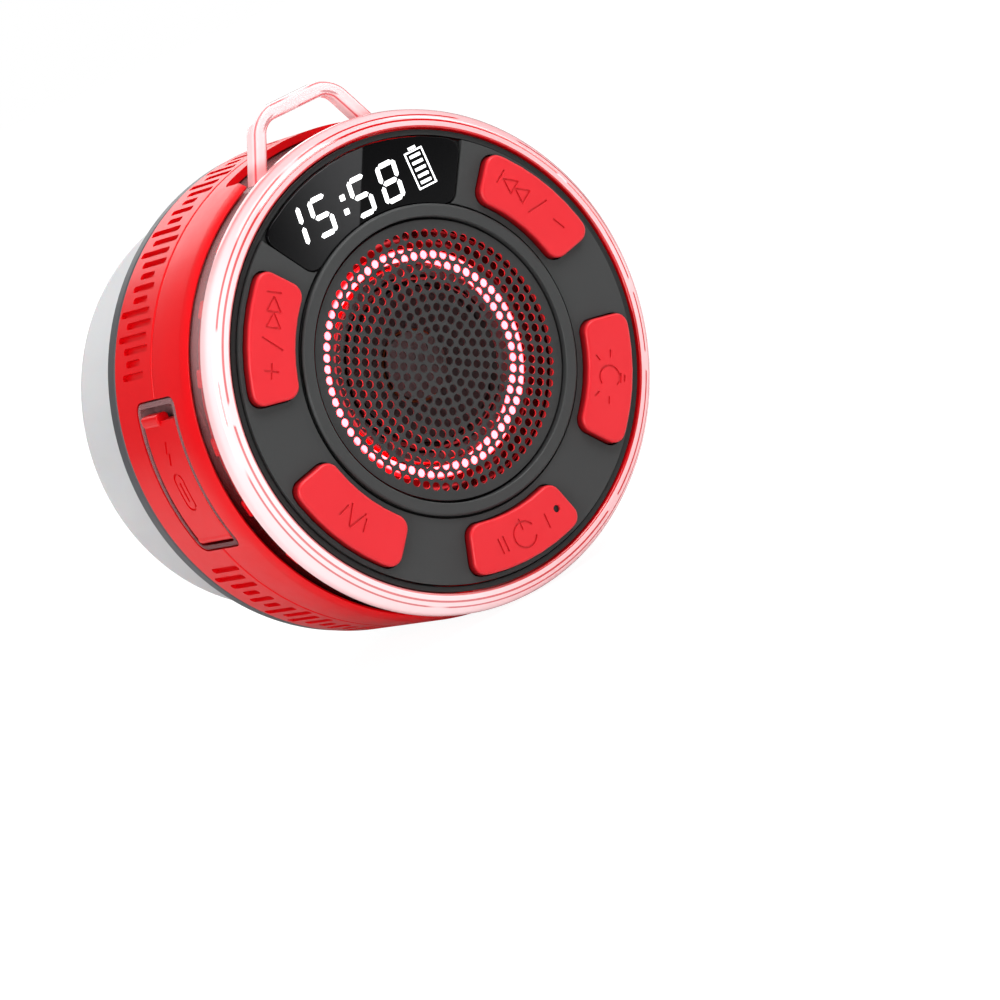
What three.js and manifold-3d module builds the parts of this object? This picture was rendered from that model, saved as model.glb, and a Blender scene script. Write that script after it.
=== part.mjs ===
// Round shower speaker with a clock display, a light ring, five keys and a suction cup.
// Millimetres. +Z is up, the speaker faces -Y, and the wall that the cup sticks to is the plane Y = 0.
import * as THREE from 'three';
import { mergeVertices } from 'three/addons/utils/BufferGeometryUtils.js';
import Module from 'manifold-3d';

const wasm = await Module();
wasm.setup();

// ---------------------------------------------------------------- driving dimensions
const bodyRadius = 45.1; // outside of the red case
const caseDepth = 37.7; // front rim to the back of the red case
const backPlateDepth = 3.4; // grey plate behind the case
const cupHeight = 23.4; // suction cup, from the back plate to the wall
const plateGap = 0.3; // between the case, the back plate and the cup

const fitGap = 0.3; // between pieces that are glued or pressed together
const runningGap = 0.1; // round the pin that the port door turns on

const bandWall = 1.4; // red front band
const clearWall = 1.4; // clear shell
const lipWidth = 1.0; // how far the clear rim reaches in past its wall
const rimDepth = 4.7; // clear rim, front to back
const rimInset = 0.4; // rim edge inside the case outside
const clearDepth = 20.5; // front rim to the back edge of the clear shell
const bandFront = 9.9; // front edge of the red front band
const bandChamfer = 2.0;
const seamDepth = 22.4; // where the front band meets the rear shell
const seamGap = 0.2;
const shellWall = 1.8; // rear shell

const sealWidth = 1.5; // black groove round the panel
const panelThickness = 2.2;
const reflectorWidth = 4.25; // from the light ring out to the grille's edge
const grilleThickness = 0.8;
const grilleGroove = 1.3; // between the grille and its trim ring
const trimWall = 0.8;
const trimFlange = 0.7; // how far the trim ring covers the panel
const trimHeight = 0.9; // how far the trim ring stands proud

const lensHalfAngle = 34; // degrees
const lensThickness = 1.1;
const lensFillet = 2.0;
const displayWidth = 30;
const displayMargin = 1.7; // above and below the display, within the lens
const keyCount = 5;
const keyPitch = 60; // degrees between neighbouring keys
const keyFirst = 60; // degrees clockwise from the top, seen from the front
const keyHalfAngle = 18.6;
const keyFillet = 1.8;
const keyInset = 1.8; // from the trim ring to a key
const keyMargin = 1.0; // from a key to the panel's edge
const keyHeight = 1.9; // how far a key stands proud
const keyTravel = 0.8;
const keyFlange = 0.6; // lip behind the panel that keeps a key in
const keyFlangeThickness = 0.8;
const keyWindowGap = 0.25;
const microphoneAngle = 164.5; // behind the power key
const microphoneRadius = 1.6;

const boardFront = 8.0; // front face of the ring-shaped light and key board
const boardThickness = 1.2;
const ringGap = 0.85; // from the driver's flange to the light ring
const ringWidth = 2.1;
const ringHeight = 2.6;

const postCount = 6;
const postRadius = 2.0;
const postInset = 2.6; // post axis inside the clear rim
const screwRadius = 0.95;

const driverRadius = 17.5;
const driverFront = 6.2;
const driverDepth = 17.6;
const coilRadius = 6.6;
const coilWall = 0.4;

const portHalfLength = 14.45; // recess in the side, along Z
const portHalfWidth = 7.5; // recess in the side, along Y
const portCorner = 2.0;
const linerWall = 0.9;
const linerFloorDepth = 4.8; // case outside to the floor of the port recess
const linerFloor = 1.2;
const doorThickness = 1.8;
const doorGap = 0.35;
const doorFingerGap = 2.6; // open end of the recess, where a nail goes in
const hingeRadius = 0.95;
const hingePinRadius = 0.45;

const loopFoot = 25.8; // hanging loop, outside width where it leaves the case
const loopTopWidth = 17.2; // outside width at the top corners
const loopRise = 7.5; // top of the loop above the case outside
const loopBar = 2.8;
const loopFront = 8.8;
const loopThickness = 3.5;
const loopOuterFillet = 4.0;
const loopInnerFillet = 1.8;
const notchHalfWidth = 15.4; // cut-out in the front band that the loop stands in
const notchBack = 18.0;

const cupRadius = 38.7;
const cupLip = 2.6; // flat sealing band at the wall
const cupWall = 2.4;
const cupCurve = 2.2; // how late the dome of the cup turns down to the wall
const hubRadius = 12.0;
const hubHeight = 3.0;
const studRadius = 3.0;
const studHeadStep = 1.2; // how far the stud's head stands out from its shank
const studFlangeStep = 2.6; // the same for the flange that is moulded into the cup
const socketRadius = 6.0;
const studGap = 0.3;

const batteryLength = 44;
const batteryHeight = 23;
const batteryThickness = 7;

// ---------------------------------------------------------------- derived places
const overallDepth = caseDepth + backPlateDepth + cupHeight + 2 * plateGap;
const at = (depth) => depth - overallDepth; // Y of a plane this far behind the front rim
const clearOuter = bodyRadius - bandWall - fitGap;
const clearInner = clearOuter - clearWall;
const faceRadius = clearInner - lipWidth;
const panelRadius = faceRadius - sealWidth;
const ringInner = driverRadius + ringGap;
const ringOuter = ringInner + ringWidth;
const grilleRadius = ringOuter + reflectorWidth;
const trimInner = grilleRadius + grilleGroove;
const panelBore = trimInner + trimWall + fitGap;
const trimOuter = panelBore + trimFlange - fitGap;
const keyInner = trimOuter + keyInset;
const keyOuter = panelRadius - keyMargin;
const keyMiddle = (keyInner + keyOuter) / 2;
const keyBack = panelThickness + fitGap;
const switchFront = keyBack + keyFlangeThickness + keyTravel + 0.2;
const boardRadius = panelRadius - 0.6;
const boardBack = boardFront + boardThickness;
const postRing = faceRadius - postInset;
const chassisFront = boardBack + 0.4;
const chassisThickness = 1.6;
const chassisBack = chassisFront + chassisThickness;
const driverBack = driverFront + driverDepth;
const coneGap = 0.3;
const portDepth = seamDepth + 0.17;
const portFloorX = -(bodyRadius - linerFloorDepth);
const bigSteps = 48; // facets round the case
const middleSteps = 40;
const smallSteps = 24;

// ---------------------------------------------------------------- shape helpers
const radians = THREE.MathUtils.degToRad;

// Point at a radius and an angle clockwise from the top, seen from the front, as (x, z).
function polar(radius, degrees) {
  return new THREE.Vector2(radius * Math.sin(radians(degrees)), radius * Math.cos(radians(degrees)));
}

function toSolid(geometry) {
  const plain = geometry.clone();
  plain.deleteAttribute('normal');
  plain.deleteAttribute('uv');
  const merged = mergeVertices(plain, 1e-4);
  const vertProperties = new Float32Array(merged.attributes.position.array);
  const corners = [...merged.index.array];
  const triVerts = [];
  for (let i = 0; i < corners.length; i += 3) {
    const [a, b, c] = corners.slice(i, i + 3);
    if (a !== b && b !== c && c !== a) {
      triVerts.push(a, b, c);
    }
  }
  let volume = 0;
  const corner = (i) => new THREE.Vector3().fromArray(vertProperties, 3 * i);
  for (let i = 0; i < triVerts.length; i += 3) {
    const [p, q, r] = triVerts.slice(i, i + 3).map(corner);
    volume += p.dot(q.cross(r));
  }
  if (volume < 0) {
    triVerts.reverse();
  }
  const mesh = new wasm.Mesh({ numProp: 3, vertProperties, triVerts: new Uint32Array(triVerts) });
  mesh.merge();
  return new wasm.Manifold(mesh);
}

function toGeometry(solid) {
  const mesh = solid.getMesh();
  const geometry = new THREE.BufferGeometry();
  geometry.setAttribute('position', new THREE.BufferAttribute(new Float32Array(mesh.vertProperties), 3));
  geometry.setIndex(new THREE.BufferAttribute(new Uint32Array(mesh.triVerts), 1));
  geometry.computeVertexNormals();
  return geometry;
}

// Solid of revolution about Y. The profile is a list of [radius, depth behind the front rim].
// It starts and ends on the axis, or it is a loop that closes on its first point.
function turned(profile, steps = middleSteps) {
  const points = profile.map(([radius, depth]) => new THREE.Vector2(radius, at(depth)));
  const onAxis = profile[0][0] === 0 && profile[profile.length - 1][0] === 0;
  if (!onAxis) {
    points.push(points[0].clone());
  }
  return toSolid(new THREE.LatheGeometry(points, steps));
}

// Plate with an outline in (x, z), between two depths, with optional holes. Every outline runs
// clockwise seen from the front, so a hole's points are taken the other way round.
function plate(outline, front, back, holes = []) {
  const shape = new THREE.Shape(outline);
  shape.holes = holes.map((hole) => new THREE.Path([...hole].reverse()));
  const geometry = new THREE.ExtrudeGeometry(shape, { depth: back - front, bevelEnabled: false });
  geometry.rotateX(Math.PI / 2);
  geometry.translate(0, at(back), 0);
  return toSolid(geometry);
}

// Closed stack of outlines that all have the same number of points, from front to back.
function stacked(sections) {
  const count = sections[0].outline.length;
  const positions = [];
  for (const { outline, depth } of sections) {
    for (const point of outline) {
      positions.push(point.x, at(depth), point.y);
    }
  }
  const index = [];
  for (let level = 0; level + 1 < sections.length; level++) {
    for (let i = 0; i < count; i++) {
      const a = level * count + i;
      const b = level * count + ((i + 1) % count);
      index.push(a, b, a + count, b, b + count, a + count);
    }
  }
  const last = (sections.length - 1) * count;
  const cap = (outline) => THREE.ShapeUtils.triangulateShape(outline, []);
  for (const [a, b, c] of cap(sections[0].outline)) {
    index.push(a, b, c);
  }
  for (const [a, b, c] of cap(sections[sections.length - 1].outline)) {
    index.push(last + a, last + c, last + b);
  }
  const geometry = new THREE.BufferGeometry();
  geometry.setAttribute('position', new THREE.Float32BufferAttribute(positions, 3));
  geometry.setIndex(index);
  return toSolid(geometry);
}

function circle(radius, steps, centre = new THREE.Vector2(0, 0)) {
  const points = [];
  for (let i = 0; i < steps; i++) {
    points.push(polar(radius, (360 * i) / steps).add(centre));
  }
  return points;
}

// Rod along Y with its axis at (x, z).
function rod(radius, centre, front, back, steps = 12) {
  return plate(circle(radius, steps, centre), front, back);
}

// Block with rounded corners in (x, z), between two depths.
function block(width, height, front, back, centre = new THREE.Vector2(0, 0), corner = 0.6) {
  return plate(roundedRectangle(width, height, corner, centre), front, back);
}

function roundedRectangle(width, height, corner, centre = new THREE.Vector2(0, 0), steps = 4) {
  const points = [];
  const quarters = [[1, 1, 0], [1, -1, 90], [-1, -1, 180], [-1, 1, 270]];
  for (const [sideX, sideZ, start] of quarters) {
    const middle = new THREE.Vector2(sideX * (width / 2 - corner), sideZ * (height / 2 - corner));
    for (let i = 0; i <= steps; i++) {
      points.push(polar(corner, start + (90 * i) / steps).add(middle).add(centre));
    }
  }
  return points;
}

// Sector of a ring, round a middle angle, with rounded corners, drawn in (x, z).
function sector(inner, outer, halfAngle, fillet, middle = 0, arcSteps = 6) {
  const degrees = THREE.MathUtils.radToDeg;
  const outerEnd = halfAngle - degrees(Math.asin(fillet / (outer - fillet)));
  const innerEnd = halfAngle - degrees(Math.asin(fillet / (inner + fillet)));
  const points = [];
  const arc = (centreRadius, centreAngle, radius, from, to, steps) => {
    const centre = centreRadius ? polar(centreRadius, middle + centreAngle) : new THREE.Vector2(0, 0);
    for (let i = 0; i <= steps; i++) {
      points.push(polar(radius, middle + from + ((to - from) * i) / steps).add(centre));
    }
  };
  arc(0, 0, outer, -outerEnd, outerEnd, arcSteps);
  arc(outer - fillet, outerEnd, fillet, outerEnd + 15, halfAngle + 90, 2);
  arc(inner + fillet, innerEnd, fillet, halfAngle + 90, innerEnd + 165, 2);
  arc(0, 0, inner, innerEnd, -innerEnd, arcSteps);
  arc(inner + fillet, -innerEnd, fillet, 180 - innerEnd + 15, 270 - halfAngle, 2);
  arc(outer - fillet, -outerEnd, fillet, 270 - halfAngle, 345 - outerEnd, 2);
  return points;
}

// Prism along X, for the recess in the side. Its outline is centred on the port, in (z, depth).
function sidePrism(zLow, zHigh, halfWidth, corner, xLow, xHigh) {
  const shape = new THREE.Shape(roundedRectangle(2 * halfWidth, zHigh - zLow, corner));
  const middle = (zLow + zHigh) / 2;
  const geometry = new THREE.ExtrudeGeometry(shape, { depth: xHigh - xLow, bevelEnabled: false });
  // The outline's X becomes Y, its Y becomes Z, and its depth becomes X.
  const turn = new THREE.Matrix4().makeBasis(
    new THREE.Vector3(0, 1, 0),
    new THREE.Vector3(0, 0, 1),
    new THREE.Vector3(1, 0, 0),
  );
  geometry.applyMatrix4(turn);
  geometry.translate(xLow, at(portDepth), middle);
  return toSolid(geometry);
}

// ---------------------------------------------------------------- finishes
const finish = (color, roughness, metalness = 0, opacity = 1) => new THREE.MeshStandardMaterial({
  color,
  roughness,
  metalness,
  opacity,
  transparent: opacity < 1,
});
const redPlastic = finish(0xd91a26, 0.32);
const redKey = finish(0xe8303a, 0.45);
const clearPlastic = finish(0xf6dcdc, 0.08, 0, 0.4);
const smokedPlastic = finish(0x6e5454, 0.12, 0, 0.55);
const panelPlastic = finish(0x3c3d3d, 0.5);
const blackRubber = finish(0x0b0b0b, 0.6);
const greyRubber = finish(0x4a4b4c, 0.6);
const paleSilicone = finish(0xd8dadb, 0.35);
const lensGlass = finish(0x0d0d0e, 0.05);
const displayWhite = finish(0xf2f2f2, 0.4);
const grilleSteel = finish(0x3e3f3f, 0.5, 0.6);
const redGloss = finish(0xd00f18, 0.15);
const diffuser = finish(0xffe6ea, 0.3);
const boardGreen = finish(0x10251a, 0.5);
const switchBlack = finish(0x1b1b1b, 0.5);
const steel = finish(0xb9bcc0, 0.3, 0.9);
const ferrite = finish(0x26272a, 0.7, 0.2);
const paper = finish(0x1c1c1e, 0.8);
const cloth = finish(0x8a6a3c, 0.8);
const copper = finish(0xb06a3a, 0.35, 0.9);
const brass = finish(0xb8955a, 0.3, 0.9);
const foilBlue = finish(0x2f4f8f, 0.4);

const speaker = new THREE.Group();
speaker.name = 'shower_speaker';

function add(name, solid, material) {
  const mesh = new THREE.Mesh(toGeometry(solid), material);
  mesh.name = name;
  speaker.add(mesh);
}

// ---------------------------------------------------------------- side port: recess, liner, door, hinge
const outside = -1.15 * bodyRadius;
const inside = -0.75 * bodyRadius;
const recessCut = sidePrism(-portHalfLength, portHalfLength, portHalfWidth, portCorner, outside, inside);
const linerHalfLength = portHalfLength - fitGap;
const linerHalfWidth = portHalfWidth - fitGap;
const pocketHalfLength = linerHalfLength - linerWall;
const pocketHalfWidth = linerHalfWidth - linerWall;
const doorHalfWidth = pocketHalfWidth - doorGap;
const doorTop = pocketHalfLength - doorFingerGap;
const hingeZ = -(pocketHalfLength - doorGap - hingeRadius);
const hingeX = -Math.sqrt((bodyRadius - hingeRadius - 0.05) ** 2 - hingeZ ** 2);
const hinge = new THREE.Vector2(hingeX, hingeZ);
const doorFront = portDepth - doorHalfWidth;
const doorBack = portDepth + doorHalfWidth;
const sideShell = (radius) => rod(radius, new THREE.Vector2(0, 0), portDepth - 2 * portHalfWidth,
  portDepth + 2 * portHalfWidth, 2 * bigSteps);

const socketHeight = 3.2;
const socketWidth = 8.9;
const socketLength = 7.3;
const socketWall = 0.3;
const socketGap = 0.35;
const windowHalfLength = socketWidth / 2 + socketGap;
const windowHalfWidth = socketHeight / 2 + socketGap;
const linerWindow = sidePrism(-windowHalfLength, windowHalfLength, windowHalfWidth, 1.6, outside,
  portFloorX + 2 * linerFloor);
const pinHole = rod(hingePinRadius + 0.02, hinge, portDepth - portHalfWidth, portDepth + portHalfWidth);

const liner = sidePrism(-linerHalfLength, linerHalfLength, linerHalfWidth, portCorner - fitGap, outside,
  portFloorX + linerFloor)
  .intersect(sideShell(bodyRadius - 0.1))
  .subtract(sidePrism(-pocketHalfLength, pocketHalfLength, pocketHalfWidth, 0.7, 1.1 * outside, portFloorX))
  .subtract(linerWindow)
  .subtract(pinHole);
add('port_liner', liner, smokedPlastic);

const doorPlate = sidePrism(hingeZ, doorTop, doorHalfWidth, 0.5, outside, portFloorX + 2)
  .intersect(sideShell(bodyRadius - 0.15))
  .subtract(sideShell(bodyRadius - 0.15 - doorThickness));
const plugHalfLength = socketWidth / 2 - 0.4;
const doorPlug = sidePrism(-plugHalfLength, plugHalfLength, socketHeight / 2 - 0.4, 1.1,
  -(bodyRadius - 1), portFloorX - 0.5);
const lipHeight = 2.2;
const lipBack = portDepth + doorHalfWidth - 0.4;
const lipInset = 0.9; // lip centre inside the case outside, and how far it overlaps the door plate
const lipX = -Math.sqrt(bodyRadius ** 2 - doorTop ** 2) + lipInset;
const lipCentre = new THREE.Vector2(lipX, doorTop + lipHeight / 2 - lipInset);
const lipWidthX = 2.6;
const doorLip = plate(roundedRectangle(lipWidthX, lipHeight, 0.7, lipCentre), portDepth - 0.6, lipBack);
const door = doorPlate
  .add(rod(hingeRadius, hinge, doorFront, doorBack, 16))
  .add(doorPlug)
  .add(doorLip)
  .subtract(rod(hingePinRadius + runningGap, hinge, doorFront - 1, doorBack + 1));
add('port_door', door, redPlastic);
add('port_hinge_pin', rod(hingePinRadius - 0.01, hinge, portDepth - linerHalfWidth + 0.2,
  portDepth + linerHalfWidth - 0.2), steel);

// ---------------------------------------------------------------- clear front shell with the hanging loop
const rimRadius = bodyRadius - rimInset;
const clearProfile = [
  [faceRadius, 0], [faceRadius + 0.3, 0], [faceRadius + 1.6, 0.3], [rimRadius - 0.8, 1.5], [rimRadius, 3.0],
  [rimRadius, rimDepth], [clearOuter, rimDepth + 0.2], [clearOuter, clearDepth], [clearInner, clearDepth],
  [clearInner, rimDepth + 1.2], [faceRadius, rimDepth + 0.3],
];
const loopTop = bodyRadius + loopRise;
const loopBase = bodyRadius - 1.2;

function loopOutline(inset, fillet) {
  const slope = (loopFoot - loopTopWidth) / 2 / (loopTop - loopBase);
  const lean = Math.hypot(1, slope);
  const top = loopTop - inset;
  const halfAt = (z) => loopFoot / 2 - (z - loopBase) * slope - inset * lean;
  const bottom = 0.8 * bodyRadius;
  const points = [new THREE.Vector2(-halfAt(bottom), bottom)];
  const legAngle = THREE.MathUtils.radToDeg(Math.atan(slope));
  const reach = fillet * Math.tan(radians((90 - legAngle) / 2));
  for (const side of [-1, 1]) {
    const centre = new THREE.Vector2(side * (halfAt(top) - reach), top - fillet);
    for (let i = 0; i <= 5; i++) {
      const share = side < 0 ? 1 - i / 5 : i / 5;
      points.push(polar(fillet, side * share * (90 - legAngle)).add(centre));
    }
  }
  points.push(new THREE.Vector2(halfAt(bottom), bottom));
  return points;
}
const loopBack = loopFront + loopThickness;
const axis = new THREE.Vector2(0, 0);
const loop = plate(loopOutline(0, loopOuterFillet), loopFront, loopBack)
  .subtract(plate(loopOutline(loopBar, loopInnerFillet), loopFront - 1, loopBack + 1))
  .subtract(rod(clearInner + 0.5, axis, loopFront - 2, loopBack + 2, bigSteps));
const portClearance = sidePrism(-portHalfLength - fitGap, portHalfLength + fitGap, portHalfWidth + fitGap,
  portCorner, outside, inside);
add('clear_shell', turned(clearProfile, bigSteps).add(loop).subtract(portClearance), clearPlastic);

// ---------------------------------------------------------------- red case: front band and rear shell
const bandInner = bodyRadius - bandWall;
const notchHeight = 2 * (loopRise + 12); // centred on the case outside
const notchCentre = new THREE.Vector2(0, bodyRadius);
const notchOutline = roundedRectangle(2 * notchHalfWidth, notchHeight, 1, notchCentre);
const notch = plate(notchOutline, bandFront - 2, notchBack);
const bandProfile = [
  [bandInner, bandFront + 0.4], [bandInner + 0.5, bandFront],
  [bodyRadius, bandFront + bandChamfer],
  [bodyRadius, seamDepth - 0.3], [bodyRadius - 0.3, seamDepth], [bandInner, seamDepth],
];
add('front_band', turned(bandProfile, bigSteps).subtract(notch).subtract(recessCut), redPlastic);

const shellInner = bodyRadius - shellWall;
const shellFront = seamDepth + seamGap;
const socketBore = socketRadius + fitGap;
const shellProfile = [
  [shellInner, shellFront], [bodyRadius - 0.3, shellFront], [bodyRadius, shellFront + 0.3],
  [bodyRadius, caseDepth - 0.4], [bodyRadius - 0.4, caseDepth], [socketBore, caseDepth],
  [socketBore, caseDepth - shellWall], [shellInner, caseDepth - shellWall],
];
add('rear_shell', turned(shellProfile, bigSteps).subtract(recessCut), redPlastic);

// ---------------------------------------------------------------- back plate, socket, stud, suction cup
const plateFront = caseDepth + plateGap;
const plateBack = plateFront + backPlateDepth;
const backPlateProfile = [
  [socketBore, plateFront], [bodyRadius - 0.8, plateFront], [bodyRadius - 0.3, plateFront + 0.5],
  [bodyRadius - 0.3, plateBack - 0.6], [bodyRadius - 0.9, plateBack], [socketBore, plateBack],
];
add('back_plate', turned(backPlateProfile, bigSteps), greyRubber);

const studBore = studRadius + studGap;
const socketFront = caseDepth - shellWall - 1.6;
const socketFlange = socketRadius + 1.8;
const swivelSocketProfile = [
  [studBore, socketFront], [socketFlange, socketFront], [socketFlange, socketFront + 1.3],
  [socketRadius, socketFront + 1.3], [socketRadius, plateBack], [studBore, plateBack],
];
add('swivel_socket', turned(swivelSocketProfile, smallSteps), brass);

const cupFront = plateBack + plateGap;
const cupBack = cupFront + cupHeight;
const studFoot = cupFront + 1.2;
const studPocket = studFoot + 2.2;
const studHead = studRadius + studHeadStep;
const studFlange = studRadius + studFlangeStep;
const studProfile = [
  [0, socketFront - 2.4], [studHead, socketFront - 2.4], [studHead, socketFront - studGap],
  [studRadius, socketFront - studGap], [studRadius, studFoot], [studFlange, studFoot],
  [studFlange, studPocket], [0, studPocket],
];
add('swivel_stud', turned(studProfile, smallSteps), steel);

// The cup is a dome: its outside falls from the hub to the wall on a curve, and its inside follows it.
const domeDepth = (radius) => cupFront + hubHeight
  + (cupHeight - hubHeight - 0.8) * ((radius - hubRadius) / (cupRadius - hubRadius)) ** cupCurve;
const domeSteps = 6;
const hollowFront = cupFront + hubHeight + cupWall + 1.6;
const cupProfile = [[0, cupFront], [hubRadius - 1, cupFront], [hubRadius, cupFront + 1]];
for (let i = 0; i <= domeSteps; i++) {
  const radius = hubRadius + ((cupRadius - hubRadius) * i) / domeSteps;
  cupProfile.push([radius, domeDepth(radius)]);
}
cupProfile.push([cupRadius, cupBack], [cupRadius - cupLip, cupBack]);
for (let i = domeSteps - 1; i >= 1; i--) {
  const radius = hubRadius + ((cupRadius - hubRadius) * i) / domeSteps;
  cupProfile.push([radius - cupWall * 0.8, Math.max(domeDepth(radius) + cupWall * 0.6, hollowFront)]);
}
cupProfile.push([0, hollowFront]);
const studRoom = turned([
  [0, cupFront - 1], [studBore, cupFront - 1], [studBore, studFoot - fitGap],
  [studFlange + fitGap, studFoot - fitGap], [studFlange + fitGap, studPocket + fitGap],
  [0, studPocket + fitGap],
], smallSteps);
add('suction_cup', turned(cupProfile).subtract(studRoom), paleSilicone);

// ---------------------------------------------------------------- face: panel, seal, lens, trim ring, grille
const keyAngles = Array.from({ length: keyCount }, (_, i) => keyFirst + i * keyPitch);
const keyNames = ['key_previous', 'key_light', 'key_power', 'key_mode', 'key_next'];
const lensInner = trimOuter + 0.1;
const lensOuter = panelRadius - 0.05;
const windowInner = keyInner - keyWindowGap;
const windowOuter = keyOuter + keyWindowGap;
const windowHalfAngle = keyHalfAngle + 0.5;
const windows = keyAngles.map((angle) => sector(windowInner, windowOuter, windowHalfAngle, keyFillet, angle));
const pocketOutline = sector(lensInner - 0.2, lensOuter + 2, lensHalfAngle + 0.5, lensFillet + 0.2);
const lensPocket = plate(pocketOutline, -1, lensThickness + 0.2);
const openingOutline = sector(lensInner + 1.4, lensOuter - 0.9, lensHalfAngle - 5, 1.5);
const displayWindow = plate(openingOutline, -1, panelThickness + 1);
const panelHoles = [circle(panelBore, middleSteps), ...windows];
const panel = plate(circle(panelRadius, bigSteps), 0, panelThickness, panelHoles)
  .subtract(lensPocket)
  .subtract(displayWindow);
add('front_panel', panel, panelPlastic);

const sealInner = panelRadius + 0.2;
const sealOuter = faceRadius - 0.2;
const sealProfile = [[sealInner, 0.9], [sealOuter, 0.9], [sealOuter, 2.4], [sealInner, 2.4]];
add('panel_seal', turned(sealProfile, bigSteps), blackRubber);

add('display_lens', stacked([
  { outline: sector(lensInner + 0.25, lensOuter - 0.25, lensHalfAngle - 0.4, lensFillet - 0.2), depth: 0.05 },
  { outline: sector(lensInner, lensOuter, lensHalfAngle, lensFillet), depth: 0.3 },
  { outline: sector(lensInner, lensOuter, lensHalfAngle, lensFillet), depth: lensThickness },
]), lensGlass);

const ledgeInner = grilleRadius - 1.2;
const ledgeFront = grilleThickness + 0.3;
const trimProfile = [
  [trimInner, -trimHeight], [trimOuter - 0.3, -trimHeight],
  [trimOuter, -trimHeight + 0.3], [trimOuter, -0.1],
  [trimInner + trimWall, -0.1], [trimInner + trimWall, panelThickness],
  [ledgeInner, panelThickness], [ledgeInner, ledgeFront], [trimInner, ledgeFront],
];
add('grille_trim_ring', turned(trimProfile), panelPlastic);
const grilleProfile = [
  [0, 0], [grilleRadius, 0], [grilleRadius, grilleThickness], [0, grilleThickness],
];
add('speaker_grille', turned(grilleProfile), grilleSteel);
add('grille_gasket', turned([
  [grilleRadius + 0.25, grilleThickness - 0.3], [trimInner - 0.25, grilleThickness - 0.3],
  [trimInner - 0.25, ledgeFront - 0.1], [grilleRadius + 0.25, ledgeFront - 0.1],
]), blackRubber);

// ---------------------------------------------------------------- keys and their switches
const switchSize = 5;
keyAngles.forEach((angle, i) => {
  const cap = (inset) => sector(keyInner + inset, keyOuter - inset, keyHalfAngle - 1.7 * inset,
    keyFillet - 0.5 * inset, angle);
  const key = stacked([
    { outline: cap(0.8), depth: -keyHeight },
    { outline: cap(0.3), depth: -keyHeight + 0.6 },
    { outline: cap(0), depth: keyBack },
    { outline: cap(-keyFlange), depth: keyBack },
    { outline: cap(-keyFlange), depth: keyBack + keyFlangeThickness },
  ]);
  add(keyNames[i], key, redKey);
});
keyAngles.forEach((angle, i) => {
  const centre = polar(keyMiddle, angle);
  const body = block(switchSize, switchSize, switchFront + 0.9, boardFront - 0.1, centre);
  add(`tact_switch_${i + 1}`, body.add(rod(1.5, centre, switchFront, switchFront + 1)), switchBlack);
});

// ---------------------------------------------------------------- electronics behind the face
const firstPost = 30; // degrees clockwise from the top
const posts = Array.from({ length: postCount }, (_, i) => polar(postRing, firstPost + (360 * i) / postCount));
const boardBore = circle(driverRadius + 0.4, middleSteps);
let lightBoard = plate(circle(boardRadius, bigSteps), boardFront, boardBack, [boardBore]);
for (const post of posts) {
  lightBoard = lightBoard.subtract(rod(postRadius + fitGap, post, boardFront - 1, boardBack + 1));
}
add('light_and_key_board', lightBoard, boardGreen);

const displayHeight = panelRadius - trimOuter - 2 * displayMargin;
const displayCentre = new THREE.Vector2(0, trimOuter + displayHeight / 2 + 0.3);
const displayBlock = block(displayWidth, displayHeight, keyBack, boardFront - 0.2, displayCentre, 0.5);
add('display_module', displayBlock, displayWhite);
const microphonePlace = polar(keyMiddle, microphoneAngle);
add('microphone', rod(microphoneRadius, microphonePlace, boardFront - 1.2, boardFront - 0.1), steel);

const ringFront = boardFront - ringHeight;
add('light_ring', turned([
  [ringInner, ringFront + 0.8], [ringInner + 0.5, ringFront + 0.1], [ringOuter - 0.5, ringFront + 0.1],
  [ringOuter, ringFront + 0.8], [ringOuter, boardFront - 0.1], [ringInner, boardFront - 0.1],
]), diffuser);
const reflectorOuter = grilleRadius - 0.1;
const reflectorFront = panelThickness + 0.4;
add('ring_reflector', turned([
  [ledgeInner - 0.3, reflectorFront], [reflectorOuter, reflectorFront],
  [reflectorOuter, reflectorFront + 1.4],
  [ringOuter + 1.0, boardFront - 0.1], [ringOuter + 0.3, boardFront - 0.1],
  [ringOuter + 0.3, boardFront - 1.1], [ledgeInner - 0.3, reflectorFront + 1.0],
]), redGloss);

// ---------------------------------------------------------------- chassis and screws
const neckInner = driverRadius - 0.9;
let chassis = turned([
  [neckInner, driverFront + 1.5], [driverRadius + 0.1, driverFront + 1.5], [driverRadius + 0.1, chassisFront],
  [clearInner - 0.4, chassisFront], [clearInner - 0.4, chassisBack], [neckInner, chassisBack],
], bigSteps);
const screwHole = screwRadius + 0.25;
for (const post of posts) {
  chassis = chassis
    .add(rod(postRadius, post, keyBack + 0.1, chassisFront + 0.5))
    .subtract(rod(screwHole, post, keyBack + 2, chassisBack + 1));
}
add('chassis', chassis, redPlastic);
const screwHeadFront = chassisBack + 0.2;
posts.forEach((post, i) => {
  const shank = rod(screwRadius, post, keyBack + 2.6, chassisBack + 0.5, 10);
  const head = rod(2 * screwRadius, post, screwHeadFront, screwHeadFront + 1.4);
  add(`chassis_screw_${i + 1}`, shank.add(head), steel);
});

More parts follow.
